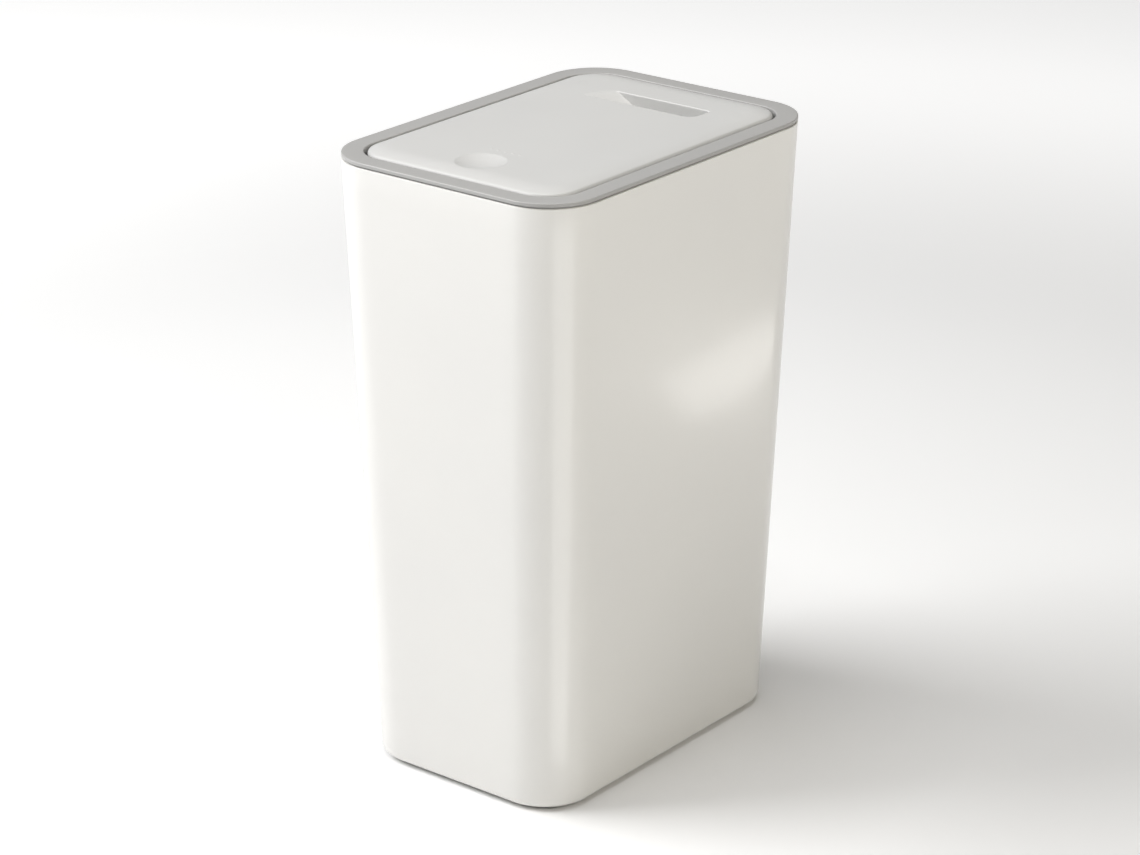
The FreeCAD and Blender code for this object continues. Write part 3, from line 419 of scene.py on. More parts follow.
def make_tub():
    """Tub in one skin: up the outside, over the rolled lip and down the inside."""
    base = TUB_BOTTOM
    low = base + TUB_FLOOR
    outer = arc_profile(BASE_EDGE, base + BASE_EDGE, BASE_EDGE, 270, 180)
    lip = arc_profile(LIP_EDGE, TUB_TOP - LIP_EDGE, LIP_EDGE, 180, 90, 5)
    lip += arc_profile(TUB_WALL - LIP_EDGE, TUB_TOP - LIP_EDGE, LIP_EDGE, 90, 0, 5)
    inner = arc_profile(TUB_WALL + INNER_EDGE, low + INNER_EDGE, INNER_EDGE, 180, 270)
    rise = steps_between(outer[-1][1], lip[0][1], WALL_ROWS)[1:-1]
    drop = steps_between(lip[-1][1], inner[0][1], WALL_ROWS)[1:-1]
    profile = outer + [(0.0, height) for height in rise] + lip
    profile += [(TUB_WALL, height) for height in drop] + inner
    rings = [lifted(tub_outline(height, inset), height) for inset, height in profile]
    shapes = [skin(rings), tub_underside(rings[0]), tub_inside_floor(rings[-1])]
    piece("tub_shell", "outer_barrel", mesh_of(shapes), TUB_WHITE)


def foot_centre(name):
    low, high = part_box(name)
    return Vector(((low.x + high.x) / 2, (low.y + high.y) / 2))


def tub_underside(edge):
    """Base of the tub: pockets for the feet, and a raised panel with the gate's mark."""
    base = TUB_BOTTOM
    loops = [edge]
    half = BASE_HALF - Vector((PANEL_INSET, PANEL_INSET))
    for grow, rise in in_mm(PANEL_STEP):
        panel_edge = outline(half.x + grow, half.y + grow, PANEL_RADIUS + grow, 8, 6)
        loops.append(lifted(panel_edge, base + rise))
    low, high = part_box(FEET[0])
    pocket = (high.x - low.x) / 2 + FOOT_PLAY
    for name in FEET:
        centre = foot_centre(name)
        for grow, height in ((0.5 * MM, base), (0.0, base + 0.3 * MM), (-0.02 * MM, high.z)):
            loops.append(lifted(circle(centre, pocket + grow), height))
    for radius, rise in in_mm(GATE_BELOW):
        loops.append(lifted(circle(MIDDLE, radius, 32), base + PANEL_RISE + rise))
    return drape(loops)


def tub_inside_floor(edge):
    """Inside floor: a flat margin, a middle that stands a little higher, and the gate's mark."""
    loops = [edge]
    floor = edge[0].z
    reach = Vector((max(point.x for point in edge), max(point.y for point in edge)))
    for grow, rise in in_mm(FLOOR_STEP):
        half = reach + Vector((grow, grow))
        radius = max(FLOOR_RADIUS + grow, 4 * MM)
        loops.append(lifted(outline(half.x, half.y, radius, 8, 6), floor + rise))
    for radius, rise in in_mm(GATE_INSIDE):
        loops.append(lifted(circle(MIDDLE, radius, 32), floor + rise))
    return drape(loops)


def make_feet():
    """Rubber feet with a rounded edge and two ring grooves in the tread."""
    for name in FEET:
        low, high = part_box(name)
        radius = (high.x - low.x) / 2
        top = high.z - low.z
        profile = [(0.0, top), (radius - FOOT_EDGE / 2, top), (radius, top - FOOT_EDGE / 2)]
        profile += arc_profile(radius - FOOT_EDGE, FOOT_EDGE, FOOT_EDGE, 360, 270, 6)
        for groove in TREAD_RADII:
            profile += [(groove + across, height) for across, height in in_mm(TREAD_GROOVE)]
        profile.append((0.0, 0.0))
        mesh = mesh_of([revolve(profile, 64)])
        centre = foot_centre(name)
        mesh.transform(Matrix.Translation((centre.x, centre.y, low.z)))
        piece(name + "_pad", name, mesh, RUBBER)


# -------- rim ring
TAB_INSET = 7.5 * MM
TAB_HALF = 5.0 * MM
TAB_THICK = 1.2 * MM
TAB_DROP = 5.0 * MM
TAB_ROOT = 0.3 * MM  # how far a tab runs up into the plate
TAB_EDGE = 0.2 * MM
TAB_HEEL = 0.3 * MM
# (distance outwards, height over the tab's foot) of the barb, in millimetres
TAB_BARB = ((0.0, 2.4), (1.0, 1.4), (1.0, 1.0))
# each tab is a direction out of the rim and a place along that side
TAB_SIDES = [(Vector((side, 0)), along * MM) for side in (-1, 1) for along in (-70, 0, 70)]
TAB_SIDES += [(Vector((0, side)), along * MM) for side in (-1, 1) for along in (-32, 32)]
RING_BREAK = 0.3 * MM  # small chamfer at the foot of the ring's wall
PLATE_BREAK = 0.25 * MM
WALL_FILLET = 0.6 * MM


def snap_tab(out, along, under):
    """Springy tab with a barb that clips the ring into the carrier."""
    reach = (RIM_HIGH.x if out.x else RIM_HIGH.y) - TAB_INSET
    foot = under - TAB_DROP
    root = under + TAB_ROOT
    profile = [(0.0, root)] + [(outwards, foot + rise) for outwards, rise in in_mm(TAB_BARB)]
    profile += [(TAB_EDGE, foot), (-TAB_THICK + TAB_EDGE, foot), (-TAB_THICK, foot + TAB_HEEL),
                (-TAB_THICK, root)]
    ahead = Vector((-out.y, out.x))
    middle = -TAB_THICK / 2
    full = TAB_HALF - TAB_EDGE
    rings = []
    # thinner sections at both ends round the tab's edges
    for place, shrink in ((-TAB_HALF, 0.2), (-full, 0), (full, 0), (TAB_HALF, 0.2)):
        ring = []
        for outwards, height in profile:
            depth = outwards + (middle - outwards) * shrink
            spot = out * (reach + depth) + ahead * (along + place)
            ring.append(Vector((spot.x, spot.y, height)))
        rings.append(ring)
    return capped(rings)


def ring_outline(share, inset):
    """Outline between the rim's outer edge (share 0) and the opening (share 1), moved inwards."""
    half = RIM_HIGH.xy - Vector((RING_FACE, RING_FACE)) * share
    radius = RIM_RADIUS + (OPENING_RADIUS - RIM_RADIUS) * share
    return outline(half.x - inset, half.y - inset, radius - inset)


def make_rim_ring():
    """Grey ring: rounded plate, wall round the opening, and snap tabs."""
    top = RIM_HIGH.z
    under = top - RING_PLATE
    foot = CARRIER_LOW.z + RING_WALL_RISE
    outer_edge = arc_profile(RING_EDGE, top - RING_EDGE, RING_EDGE, 180, 90, 6)
    inner_edge = arc_profile(-RING_EDGE, top - RING_EDGE, RING_EDGE, 90, 0, 6)
    profile = [(0, PLATE_BREAK, under), (0, 0.0, under + PLATE_BREAK)]
    profile += [(0, inset, height) for inset, height in outer_edge]
    profile += [(share, 0.0, top) for share in (0.25, 0.5, 0.75)]
    profile += [(1, inset, height) for inset, height in inner_edge]
    profile += [(1, 0.0, foot + RING_BREAK), (1, -RING_BREAK, foot), (1, -RING_WALL + RING_BREAK, foot),
                (1, -RING_WALL, foot + RING_BREAK), (1, -RING_WALL, under - WALL_FILLET),
                (1, -RING_WALL - WALL_FILLET, under), (0.4, 0.0, under)]
    rings = [lifted(ring_outline(share, inset), height) for share, inset, height in profile]
    shapes = [skin(rings, closed=True)] + [snap_tab(out, along, under) for out, along in TAB_SIDES]
    piece("rim_ring", "rim_cover", mesh_of(shapes), RIM_GREY)


# -------- lid
LID_HALF = LID_HIGH.xy
CROWN_TOP = RIM_HIGH.z + CROWN_RISE
EDGE_MEETS = 0.14  # share of the crown's run at which it meets the rounded edge
DIMPLE_BALL = (DIMPLE_RADIUS ** 2 + DIMPLE_DEPTH ** 2) / (2 * DIMPLE_DEPTH)
DIMPLE_BLEND = 0.2 * MM
GRIP_FILLET = 0.8 * MM
GRIP_BLEND = 0.4 * MM
GRIP_DRAFT = math.tan(math.radians(3.0))
RAMP_SLOPE = 0.52
RAMP_ENTRY = 7.0 * MM
RAMP_BLEND = 3.0 * MM
RAMP_SKEW = 11.0 * MM  # the ramp's start runs across the recess at a slant
SKIRT_BREAK = 0.4 * MM  # rounding at the foot of the lid's wall
UNDER_FILLET = 1.0 * MM
SCREW_PLACES = [Vector((side * 58.0, y)) * MM for side in (-1, 1) for y in (-92.0, -11.0, 70.0)]
BOSS_RADIUS = 3.2 * MM
PILOT_RADIUS = 1.25 * MM
PILOT_DEPTH = 3.4 * MM
EAR_POCKETS = [Vector((side * 67.75, 86.0)) * MM for side in (-1, 1)]
EAR_POCKET_HALF = Vector((2.6, 4.6)) * MM
EAR_POCKET_RADIUS = 0.5 * MM
EAR_POCKET_DEPTH = 1.0 * MM
KNUCKLE_RADIUS = 3.6 * MM
KNUCKLE_SPAN = (46.0 * MM, 56.0 * MM)
KNUCKLE_CHAMFER = 0.3 * MM
KNUCKLE_BORE = 1.55 * MM
KNUCKLE_ROOT = 0.2 * MM
ONTO_X = Matrix(((0, 0, 1, 0), (1, 0, 0, 0), (0, 1, 0, 0), (0, 0, 0, 1)))  # x, y, z become y, z, x
# loops that the lid's sheets are draped over: insets in millimetres, or shares of a radius
EDGE_LOOPS = (3.2, 5.0, 7.0, 8.8)
DIMPLE_LOOPS = (0.2, 0.4, 0.6, 0.75, 0.86, 0.92, 0.95, 0.97, 0.985, 1.0, 1.015, 1.03, 1.05, 1.08, 1.11)
FILLET_LOOPS = (1.6, 1.0, 0.8, 0.6, 0.42, 0.27, 0.15, 0.06, 0.0)
WALL_LOOPS = (0.08, 0.2, 0.35, 0.5, 0.65, 0.8, 1.4, 2.2)
TRAY_LOOPS = (0.05, 0.0, -0.2, -0.45, -0.7, -1.4)
DOT_LOOPS = (1.15, 1.0, 0.8, 0.5)
BRINK = 0.05 * MM  # half the width of the step at a feature's edge, underneath
PILOT_BRINK = 0.02 * MM


def corner_inset(away, half, radius):
    """How far inside a rounded rectangle a point lies that is `away` from its middle."""
    from_corner = Vector((abs(away.x) - half.x + radius, abs(away.y) - half.y + radius))
    beyond = Vector((max(from_corner.x, 0), max(from_corner.y, 0))).length
    return radius - beyond - min(max(from_corner.x, from_corner.y), 0)


def grip_inset(point):
    away = point - GRIP_CENTRE
    corner = GRIP_CORNERS[(1 if away.x > 0 else -1, 1 if away.y > 0 else -1)]
    return corner_inset(away, GRIP_HALF, corner)


def soft_least(first, second, reach):
    """The smaller of two values, rounded off where they cross."""
    overlap = max(reach - abs(first - second), 0) / reach
    return min(first, second) - overlap ** 2 * reach / 4


def ramp_depth(point):
    """Depth of the grip recess's ramp and floor under the crown."""
    across = (point.y - GRIP_CENTRE.y + GRIP_HALF.y) / (2 * GRIP_HALF.y)
    run = point.x + GRIP_HALF.x - RAMP_SKEW * min(max(across, 0), 1)
    if run <= 0:
        return 0.0
    if run < RAMP_ENTRY:
        return RAMP_SLOPE * run ** 2 / (2 * RAMP_ENTRY)
    return soft_least(RAMP_SLOPE * (run - RAMP_ENTRY / 2), GRIP_DEPTH, RAMP_BLEND)


def grip_depth(point):
    """Depth of the grip recess: rounded edge, drafted walls, ramp and floor."""
    inset = grip_inset(point)
    if inset <= -GRIP_FILLET:
        return 0.0
    if inset < 0:
        wall = GRIP_FILLET - math.sqrt(GRIP_FILLET ** 2 - (inset + GRIP_FILLET) ** 2)
    else:
        wall = GRIP_FILLET + inset / GRIP_DRAFT
    return max(0.0, soft_least(wall, ramp_depth(point), GRIP_BLEND))


def crown_height(inset):
    return CROWN_TOP - CROWN_RISE * (1 - min(max(inset, 0), CROWN_RUN) / CROWN_RUN) ** 2


def lid_top(point):
    """Height of the lid's upper face: crown, finger dimple, grip recess and raised dots."""
    height = crown_height(corner_inset(point, LID_HALF, LID_RADIUS))
    away = (point - DIMPLE_CENTRE).length
    if away < DIMPLE_RADIUS * 1.4:
        bowl = CROWN_TOP - DIMPLE_DEPTH + DIMPLE_BALL - math.sqrt(DIMPLE_BALL ** 2 - away ** 2)
        height = soft_least(height, bowl, DIMPLE_BLEND)
    height -= grip_depth(point)
    for place in DOT_PLACES:
        offset = (point - place).length / DOT_RADIUS
        if offset < 1:
            height += DOT_RISE * (1 - offset ** 2)
    return height


def lid_under(point):
    """Height of the lid's inner face, with the undersides of the dimple and the grip recess,
    the screw bosses with their pilot holes, and the pockets that clear the hinge ears."""
    for place in SCREW_PLACES:
        away = (point - place).length
        if away < PILOT_RADIUS:
            return LINER_TOP + PILOT_DEPTH
        if away < BOSS_RADIUS:
            return LINER_TOP
    for centre in EAR_POCKETS:
        if corner_inset(point - centre, EAR_POCKET_HALF, EAR_POCKET_RADIUS) > 0:
            return LID_UNDER + EAR_POCKET_DEPTH
    height = LID_UNDER
    if (point - DIMPLE_CENTRE).length < DIMPLE_PAD_RADIUS:
        height -= DIMPLE_PAD_DROP
    inset = grip_inset(point) + GRIP_WALL
    if inset > 0:
        tray = CROWN_TOP - GRIP_WALL - ramp_depth(point)
        height = min(height, max(tray, height - inset / GRIP_DRAFT))
    return height


def lid_outline(inset):
    half = LID_HALF - Vector((inset, inset))
    return outline(half.x, half.y, LID_RADIUS - inset)


def pocket_outline(centre, grow):
    half = EAR_POCKET_HALF + Vector((grow, grow))
    return [centre + point for point in outline(half.x, half.y, EAR_POCKET_RADIUS, 4, 6)]


def grip_outline(inset, pitch=0.9 * MM):
    """Outline of the grip recess moved inwards, with its four different corners."""
    corners = []
    half = GRIP_HALF - Vector((inset, inset))
    for turn, signs in enumerate(TURNS):
        radius = GRIP_CORNERS[signs] - inset
        centre = GRIP_CENTRE + Vector((signs[0] * (half.x - radius), signs[1] * (half.y - radius)))
        corners += corner_arc(centre, radius, turn, 12)
    points = []
    for first, second in zip(corners, corners[1:] + corners[:1]):
        count = max(1, round((second - first).length / pitch))
        points += [first.lerp(second, step / count) for step in range(count)]
    return points


def grip_grid(margin_x, margin_y, pitch):
    """Loose points of the grip recess's floor, at least a margin inside its walls."""
    grid = grid_points(GRIP_HALF.x - margin_x, GRIP_HALF.y - margin_y, pitch)
    return [point + GRIP_CENTRE for point in grid]


def crown_net(pitch):
    """Loose points of the crown: rings near the edge and a grid inside them."""
    inset, ring_pitch = 10.5 * MM, 2.0 * MM
    points = []
    while inset < CROWN_RUN + 2.5 * MM:
        points += lid_outline(inset)
        inset += ring_pitch
    inner = LID_HALF - Vector((inset, inset))
    return points + grid_points(inner.x, inner.y, pitch)


def clear_of_features(point):
    """Whether a plan point keeps clear of the loops of the dimple, the recess and the dots."""
    near_dot = min((point - place).length for place in DOT_PLACES) < 1.5 * MM
    near_dimple = (point - DIMPLE_CENTRE).length < DIMPLE_RADIUS + 2.4 * MM
    return not (near_dot or near_dimple or grip_inset(point) > -2.0 * MM)


def lid_upper_sheet(edge_inset):
    loops = [lid_outline(edge_inset)] + [lid_outline(inset * MM) for inset in EDGE_LOOPS]
    loops += [circle(DIMPLE_CENTRE, DIMPLE_RADIUS * share, 72) for share in DIMPLE_LOOPS]
    loops += [grip_outline(-GRIP_FILLET * share) for share in FILLET_LOOPS]
    loops += [grip_outline(inset * MM) for inset in WALL_LOOPS]
    loops += [circle(place, DOT_RADIUS * share, 16) for place in DOT_PLACES for share in DOT_LOOPS]
    loose = [point for point in crown_net(4 * MM) if clear_of_features(point)]
    return drape(loops, loose + grip_grid(3 * MM, 3.2 * MM, 1.3 * MM), lid_top)


def lid_under_sheet(edge_inset):
    loops = [lid_outline(edge_inset)]
    loops += [circle(DIMPLE_CENTRE, DIMPLE_PAD_RADIUS + grow, 64) for grow in (BRINK, -BRINK)]
    loops += [grip_outline(-GRIP_WALL - inset * MM, 1.5 * MM) for inset in TRAY_LOOPS]
    boss_radii = (BOSS_RADIUS + BRINK, BOSS_RADIUS - BRINK,
                  PILOT_RADIUS + PILOT_BRINK, PILOT_RADIUS - PILOT_BRINK)
    loops += [circle(place, radius, 32) for place in SCREW_PLACES for radius in boss_radii]
    loops += [pocket_outline(centre, grow) for centre in EAR_POCKETS for grow in (BRINK, -BRINK)]
    return drape(loops, grip_grid(2 * MM, 2 * MM, 2.5 * MM), lid_under)


def knuckle_outline(radius):
    """Outline of a hinge knuckle in the plane across the pin: a drum on a stem."""
    root = LID_UNDER + KNUCKLE_ROOT
    points = [Vector((HINGE_Y - radius, root))]
    for step in range(25):
        angle = math.radians(180 + 180 * step / 24)
        points.append(Vector((HINGE_Y + radius * math.cos(angle), HINGE_Z + radius * math.sin(angle))))
    return points + [Vector((HINGE_Y + radius, root))]


def knuckle(side):
    """Hinge knuckle: a drum bored for the pin, on a stem that runs up into the lid's plate."""
    low, high = sorted(side * reach for reach in KNUCKLE_SPAN)
    places = (low, low + KNUCKLE_CHAMFER, high - KNUCKLE_CHAMFER, high)
    hinge = Vector((HINGE_Y, HINGE_Z))
    small = KNUCKLE_RADIUS - KNUCKLE_CHAMFER
    wide = KNUCKLE_BORE + KNUCKLE_CHAMFER
    outer = [lifted(knuckle_outline(radius), place)
             for radius, place in zip((small, KNUCKLE_RADIUS, KNUCKLE_RADIUS, small), places)]
    bore = [lifted(circle(hinge, radius, 32), place)
            for radius, place in zip((wide, KNUCKLE_BORE, KNUCKLE_BORE, wide), places)]
    shapes = [skin(outer), skin(bore)]
    for end in (0, -1):
        shapes.append(drape([outer[end], bore[end]], hole=lambda point: (point - hinge).length < wide))
    return [([ONTO_X @ point for point in points], faces) for points, faces in shapes]


def make_lid():
    """Lid: wall with a rounded edge, crowned upper sheet, inner sheet and two hinge knuckles."""
    lean = math.atan(2 * CROWN_RISE / CROWN_RUN * (1 - EDGE_MEETS))
    centre = crown_height(LID_EDGE * (1 - math.sin(lean))) - LID_EDGE * math.cos(lean)
    foot, small = LID_BOTTOM, SKIRT_BREAK
    side = [(small, foot), (small / 4, foot + small / 4), (0.0, foot + small)]
    side += arc_profile(LID_EDGE, centre, LID_EDGE, 180, 90 + math.degrees(lean), 10)
    inner = [(small, foot), (LID_WALL - small, foot), (LID_WALL, foot + small),
             (LID_WALL, LID_UNDER - UNDER_FILLET),
             (LID_WALL + 0.3 * UNDER_FILLET, LID_UNDER - 0.3 * UNDER_FILLET),
             (LID_WALL + UNDER_FILLET, LID_UNDER)]
    shapes = [skin([lifted(lid_outline(inset), height) for inset, height in wall]) for wall in (side, inner)]
    shapes += [lid_upper_sheet(side[-1][0]), lid_under_sheet(inner[-1][0])]
    shapes += knuckle(-1) + knuckle(1)
    piece("lid_cover", "lid_shell", mesh_of(shapes), LID_WHITE_PAINTED_SHADE)


# -------- moulded inner parts
FLAT_TURN = math.radians(1.5)  # edges that turn less are dissolved,
CRISP_TURN = math.radians(35)  # and edges that turn more are rounded
BEAD_HALF = Vector((64.0, 68.0)) * MM
BEAD_CENTRE = Vector((0, -16.0)) * MM
BEAD_RADIUS = 12.0 * MM
BEAD_WIDTH = 1.6 * MM
BEAD_DROP = 0.6 * MM
BEAD_ROOT = 0.1 * MM
BEAD_BREAK = 0.3 * MM


def evenly_shaded(mesh):
    """Mesh whose normals follow its large faces, which keeps them flat between rounded edges."""
    mesh.shade_smooth()
    mesh.set_sharp_from_angle(angle=math.radians(50))
    host = new_object("host", mesh)
    weighted = host.modifiers.new("weighted", "WEIGHTED_NORMAL")
    weighted.keep_sharp = True
    weighted.weight = 100
    graph = bpy.context.evaluated_depsgraph_get()
    result = bpy.data.meshes.new_from_object(host.evaluated_get(graph), depsgraph=graph)
    bpy.data.objects.remove(host)
    return result


def softened(node, width, material, extra=()):
    """Piece with a CAD node's shape, its edges rounded, and any extra shapes joined to it."""
    built = bmesh.new()
    built.from_mesh(frame["nodes"][node].data)
    bmesh.ops.remove_doubles(built, verts=built.verts, dist=WELD)
    bmesh.ops.dissolve_limit(built, angle_limit=FLAT_TURN, verts=built.verts, edges=built.edges)
    crisp = [edge for edge in built.edges if edge.is_manifold and edge.calc_face_angle() > CRISP_TURN]
    bmesh.ops.bevel(built, geom=crisp, offset=width, segments=2, profile=0.5, affect="EDGES",
                    clamp_overlap=True)
    mesh = bpy.data.meshes.new("mesh")
    for points, faces in extra:
        corners = [built.verts.new(point) for point in points]
        added = [built.faces.new([corners[index] for index in face]) for face in faces]
        bmesh.ops.recalc_face_normals(built, faces=added)
    built.to_mesh(mesh)
    built.free()
    piece(node + "_moulding", node, evenly_shaded(mesh), material)


def liner_bead():
    """Low moulded bead that runs round the underside of the liner."""
    high = LINER_LOW.z
    low = high - BEAD_DROP
    root, wide = high + BEAD_ROOT, BEAD_WIDTH
    rings = []
    for inset, height in ((0, root), (0, low + BEAD_BREAK), (BEAD_BREAK, low),
                          (wide - BEAD_BREAK, low), (wide, low + BEAD_BREAK), (wide, root)):
        plan = outline(BEAD_HALF.x - inset, BEAD_HALF.y - inset, BEAD_RADIUS - inset, 10, 6)
        rings.append(lifted([BEAD_CENTRE + point for point in plan], height))
    return skin(rings, closed=True)


def make_mouldings():
    """Moulded parts with their CAD shapes, and the widths of their rounded edges."""
    softened("lid_liner", 0.25 * MM, LINER_WHITE, [liner_bead()])
    softened("rim_carrier", 0.3 * MM, COLLAR_GREY)
    softened("buffer_pads", 0.35 * MM, BUFFER)
    softened("striker", 0.25 * MM, PLUNGER_GREY)
    softened("latch_housing", 0.25 * MM, LATCH_BLACK)
    softened("latch_plunger", 0.12 * MM, PLUNGER_GREY)


# -------- springs
WIRE_END = ((0.35, 0.0), (0.8, 0.25), (1.0, 0.7))  # rounded end: shares of the radius, outwards and along
COIL_RADIUS = 2.55 * MM
COIL_WIRE = 0.45 * MM
COIL_PITCH = 1.2 * MM
COIL_TURNS = 6
COIL_START = 64.5 * MM
SHELF_LEG = Vector((-8.0, -7.35)) * MM
LID_LEG = Vector((-11.0, 3.5)) * MM
LEG_STEPS = 8
SHELF_PART = 0.35  # radians of the coil that belong to the shelf leg's piece
PART_OVERLAP = 0.1  # radians by which the coil's piece runs into it
PART_PLAY = 0.005 * MM  # how much thinner the coil's wire is, so that the skins differ
LATCH_Y = -96.0 * MM
LATCH_COIL = 2.6 * MM
LATCH_WIRE = 0.4 * MM
LATCH_TURNS = 5


def tube(path, radius, sides=12):
    """Round wire along a path, its frame carried along without twist, its ends rounded off."""
    last = len(path) - 1
    side = (path[1] - path[0]).orthogonal().normalized()
    rings = []
    for step, spot in enumerate(path):
        ahead = (path[min(step + 1, last)] - path[max(step - 1, 0)]).normalized()
        side = (side - ahead * side.dot(ahead)).normalized()
        up = ahead.cross(side)
        sections = [(1.0, 0.0)]
        if step == 0:
            sections = WIRE_END
        if step == last:
            sections = [(share, -shift) for share, shift in reversed(WIRE_END)]
        for share, shift in sections:
            middle = spot + ahead * radius * shift
            rings.append([middle + radius * share * (side * math.cos(turn) + up * math.sin(turn))
                          for turn in (2 * math.pi * corner / sides for corner in range(sides))])
    return capped(rings)


def make_torsion_springs():
    """Each spring is two lengths of one wire: the shelf leg, and the coil, which winds up
    from the pin towards the leg under the lid."""
    first = math.atan2(SHELF_LEG.y, SHELF_LEG.x) + math.acos(COIL_RADIUS / SHELF_LEG.length)
    last = math.atan2(LID_LEG.y, LID_LEG.x) - math.acos(COIL_RADIUS / LID_LEG.length)
    sweep = 2 * math.pi * COIL_TURNS + last - first
    rise = COIL_PITCH / (2 * math.pi)

    def coil_point(turned):
        angle = first + turned
        return Vector((COIL_RADIUS * math.cos(angle), COIL_RADIUS * math.sin(angle), turned * rise))

    def leg(tip, turned, sign):
        """Points from the coil to the leg's tip, on a tangent of the coil."""
        start = coil_point(turned)
        reach = (tip - start.xy).length
        end = Vector((tip.x, tip.y, start.z + sign * reach * rise / COIL_RADIUS))
        return [start.lerp(end, step / LEG_STEPS) for step in range(1, LEG_STEPS + 1)]

    shelf = list(reversed(leg(SHELF_LEG, 0, -1)))
    shelf += [coil_point(turned) for turned in steps_between(0, SHELF_PART, 4)]
    coil_turns = steps_between(SHELF_PART - PART_OVERLAP, sweep, TURN_STEPS * COIL_TURNS)
    coil = [coil_point(turned) for turned in coil_turns] + leg(LID_LEG, sweep, 1)
    for side, node in ((-1, "torsion_spring_left"), (1, "torsion_spring_right")):
        hinge = Vector((side * COIL_START, HINGE_Y, HINGE_Z))
        shelf_tip = hinge + Vector((0, SHELF_LEG.x, 0))
        coil_edge = hinge - Vector((0, COIL_RADIUS, 0))
        coil_end = hinge - Vector((side * sweep * rise, 0, 0))
        for tag, path, wire, bodies in (
                ("_shelf_leg", shelf, COIL_WIRE, ("head", BODY_OF[node], shelf_tip, coil_edge)),
                ("_coil", coil, COIL_WIRE - PART_PLAY, (BODY_OF[node], "lid", hinge, coil_end))):
            placed = [Vector((side * (COIL_START - spot.z), HINGE_Y + spot.x, HINGE_Z + spot.y))
                      for spot in path]
            piece(node + tag, node, mesh_of([tube(placed, wire)], WIRE_WELD), SPRING_STEEL, bodies, sharp=50)


def make_latch_spring():
    """Compression spring with a closed turn at each end."""
    low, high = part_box("latch_spring")
    start, end = low.z + LATCH_WIRE, high.z - LATCH_WIRE
    closed = 2.0 * LATCH_WIRE
    all_turns = LATCH_TURNS + 2
    path = []
    for turns in steps_between(0, all_turns, TURN_STEPS * all_turns):
        if turns < 1:
            height = start + closed * turns
        elif turns > LATCH_TURNS + 1:
            height = end - closed * (all_turns - turns)
        else:
            height = start + closed + (end - start - 2 * closed) * (turns - 1) / LATCH_TURNS
        angle = 2 * math.pi * turns
        path.append(Vector((LATCH_COIL * math.cos(angle), LATCH_Y + LATCH_COIL * math.sin(angle), height)))
    mesh = mesh_of([tube(path, LATCH_WIRE)], WIRE_WELD)
    coil = piece("latch_coil", "latch_spring", mesh, SPRING_STEEL, sharp=50)
    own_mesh(coil)


# -------- pins and screws
PIN_RADIUS = 1.5 * MM
PIN_HEAD = 2.4 * MM
PIN_HEAD_LENGTH = 1.0 * MM
PIN_DOME = ((0.6, 0.0), (0.2, 0.12), (0.0, 0.4))  # millimetres inwards from the head's rim, and along
PIN_BREAK = 0.1 * MM
PIN_POINT = 0.4 * MM
# proportions of a screw: of the head's height, of its radius, and of the shank's radius
HEAD_EDGE = 0.7
RECESS_DEPTH = 0.55
RECESS_ARM = 0.62
RECESS_WIDTH = 0.17
THREAD_PITCH = 0.5
THREAD_DEPTH = 0.13
STRIKER_SEAT = LID_BOTTOM + 1.2 * MM
LATCH_SEAT = 360.7 * MM
STRIKER_SCREWS, LATCH_SCREWS = ([Vector((side * x, -96.0)) * MM for side in (-1, 1)] for x in (7.8, 14.5))
# for each node: places, height of the seat; and head radius, head height, shank radius, length in mm
SCREWS = {
    "lid_screws": (SCREW_PLACES, LINER_LOW.z, (2.6, 1.4, 1.1, 4.9)),
    "striker_screws": (STRIKER_SCREWS, STRIKER_SEAT, (1.9, 1.2, 1.0, 4.6)),
    "latch_screws": (LATCH_SCREWS, LATCH_SEAT, (2.4, 1.4, 1.1, 6.6))}


def make_hinge_pins():
    """Pins with a domed head at the inner end and a chamfered point at the outer end."""
    for node in ("hinge_pin_left", "hinge_pin_right"):
        low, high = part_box(node)
        length = high.x - low.x
        profile = [(0, 0)] + [(PIN_HEAD - inwards, along) for inwards, along in in_mm(PIN_DOME)]
        profile += [(PIN_HEAD, PIN_HEAD_LENGTH - PIN_BREAK), (PIN_HEAD - PIN_BREAK, PIN_HEAD_LENGTH),
                    (PIN_RADIUS, PIN_HEAD_LENGTH), (PIN_RADIUS, length - PIN_POINT),
                    (PIN_RADIUS - PIN_POINT, length), (0, length)]
        mesh = mesh_of([revolve(profile, 40)])
        side = 1 if low.x > 0 else -1
        inner = low.x if side > 0 else high.x
        across = Matrix.Rotation(math.radians(90 * side), 4, "Y")
        mesh.transform(Matrix.Translation((inner, HINGE_Y, HINGE_Z)) @ across)
        piece(node + "_turned", node, mesh, PIN_STEEL)


def cross_loop(arm, half_width, height):
    """Outline of a cross-shaped recess."""
    corners = []
    for quarter in range(4):
        turn = Matrix.Rotation(math.radians(90 * quarter), 2)
        for x, y in ((arm, -half_width), (arm, half_width), (half_width, half_width)):
            corners.append(turn @ Vector((x, y)))
    return lifted(corners, height)


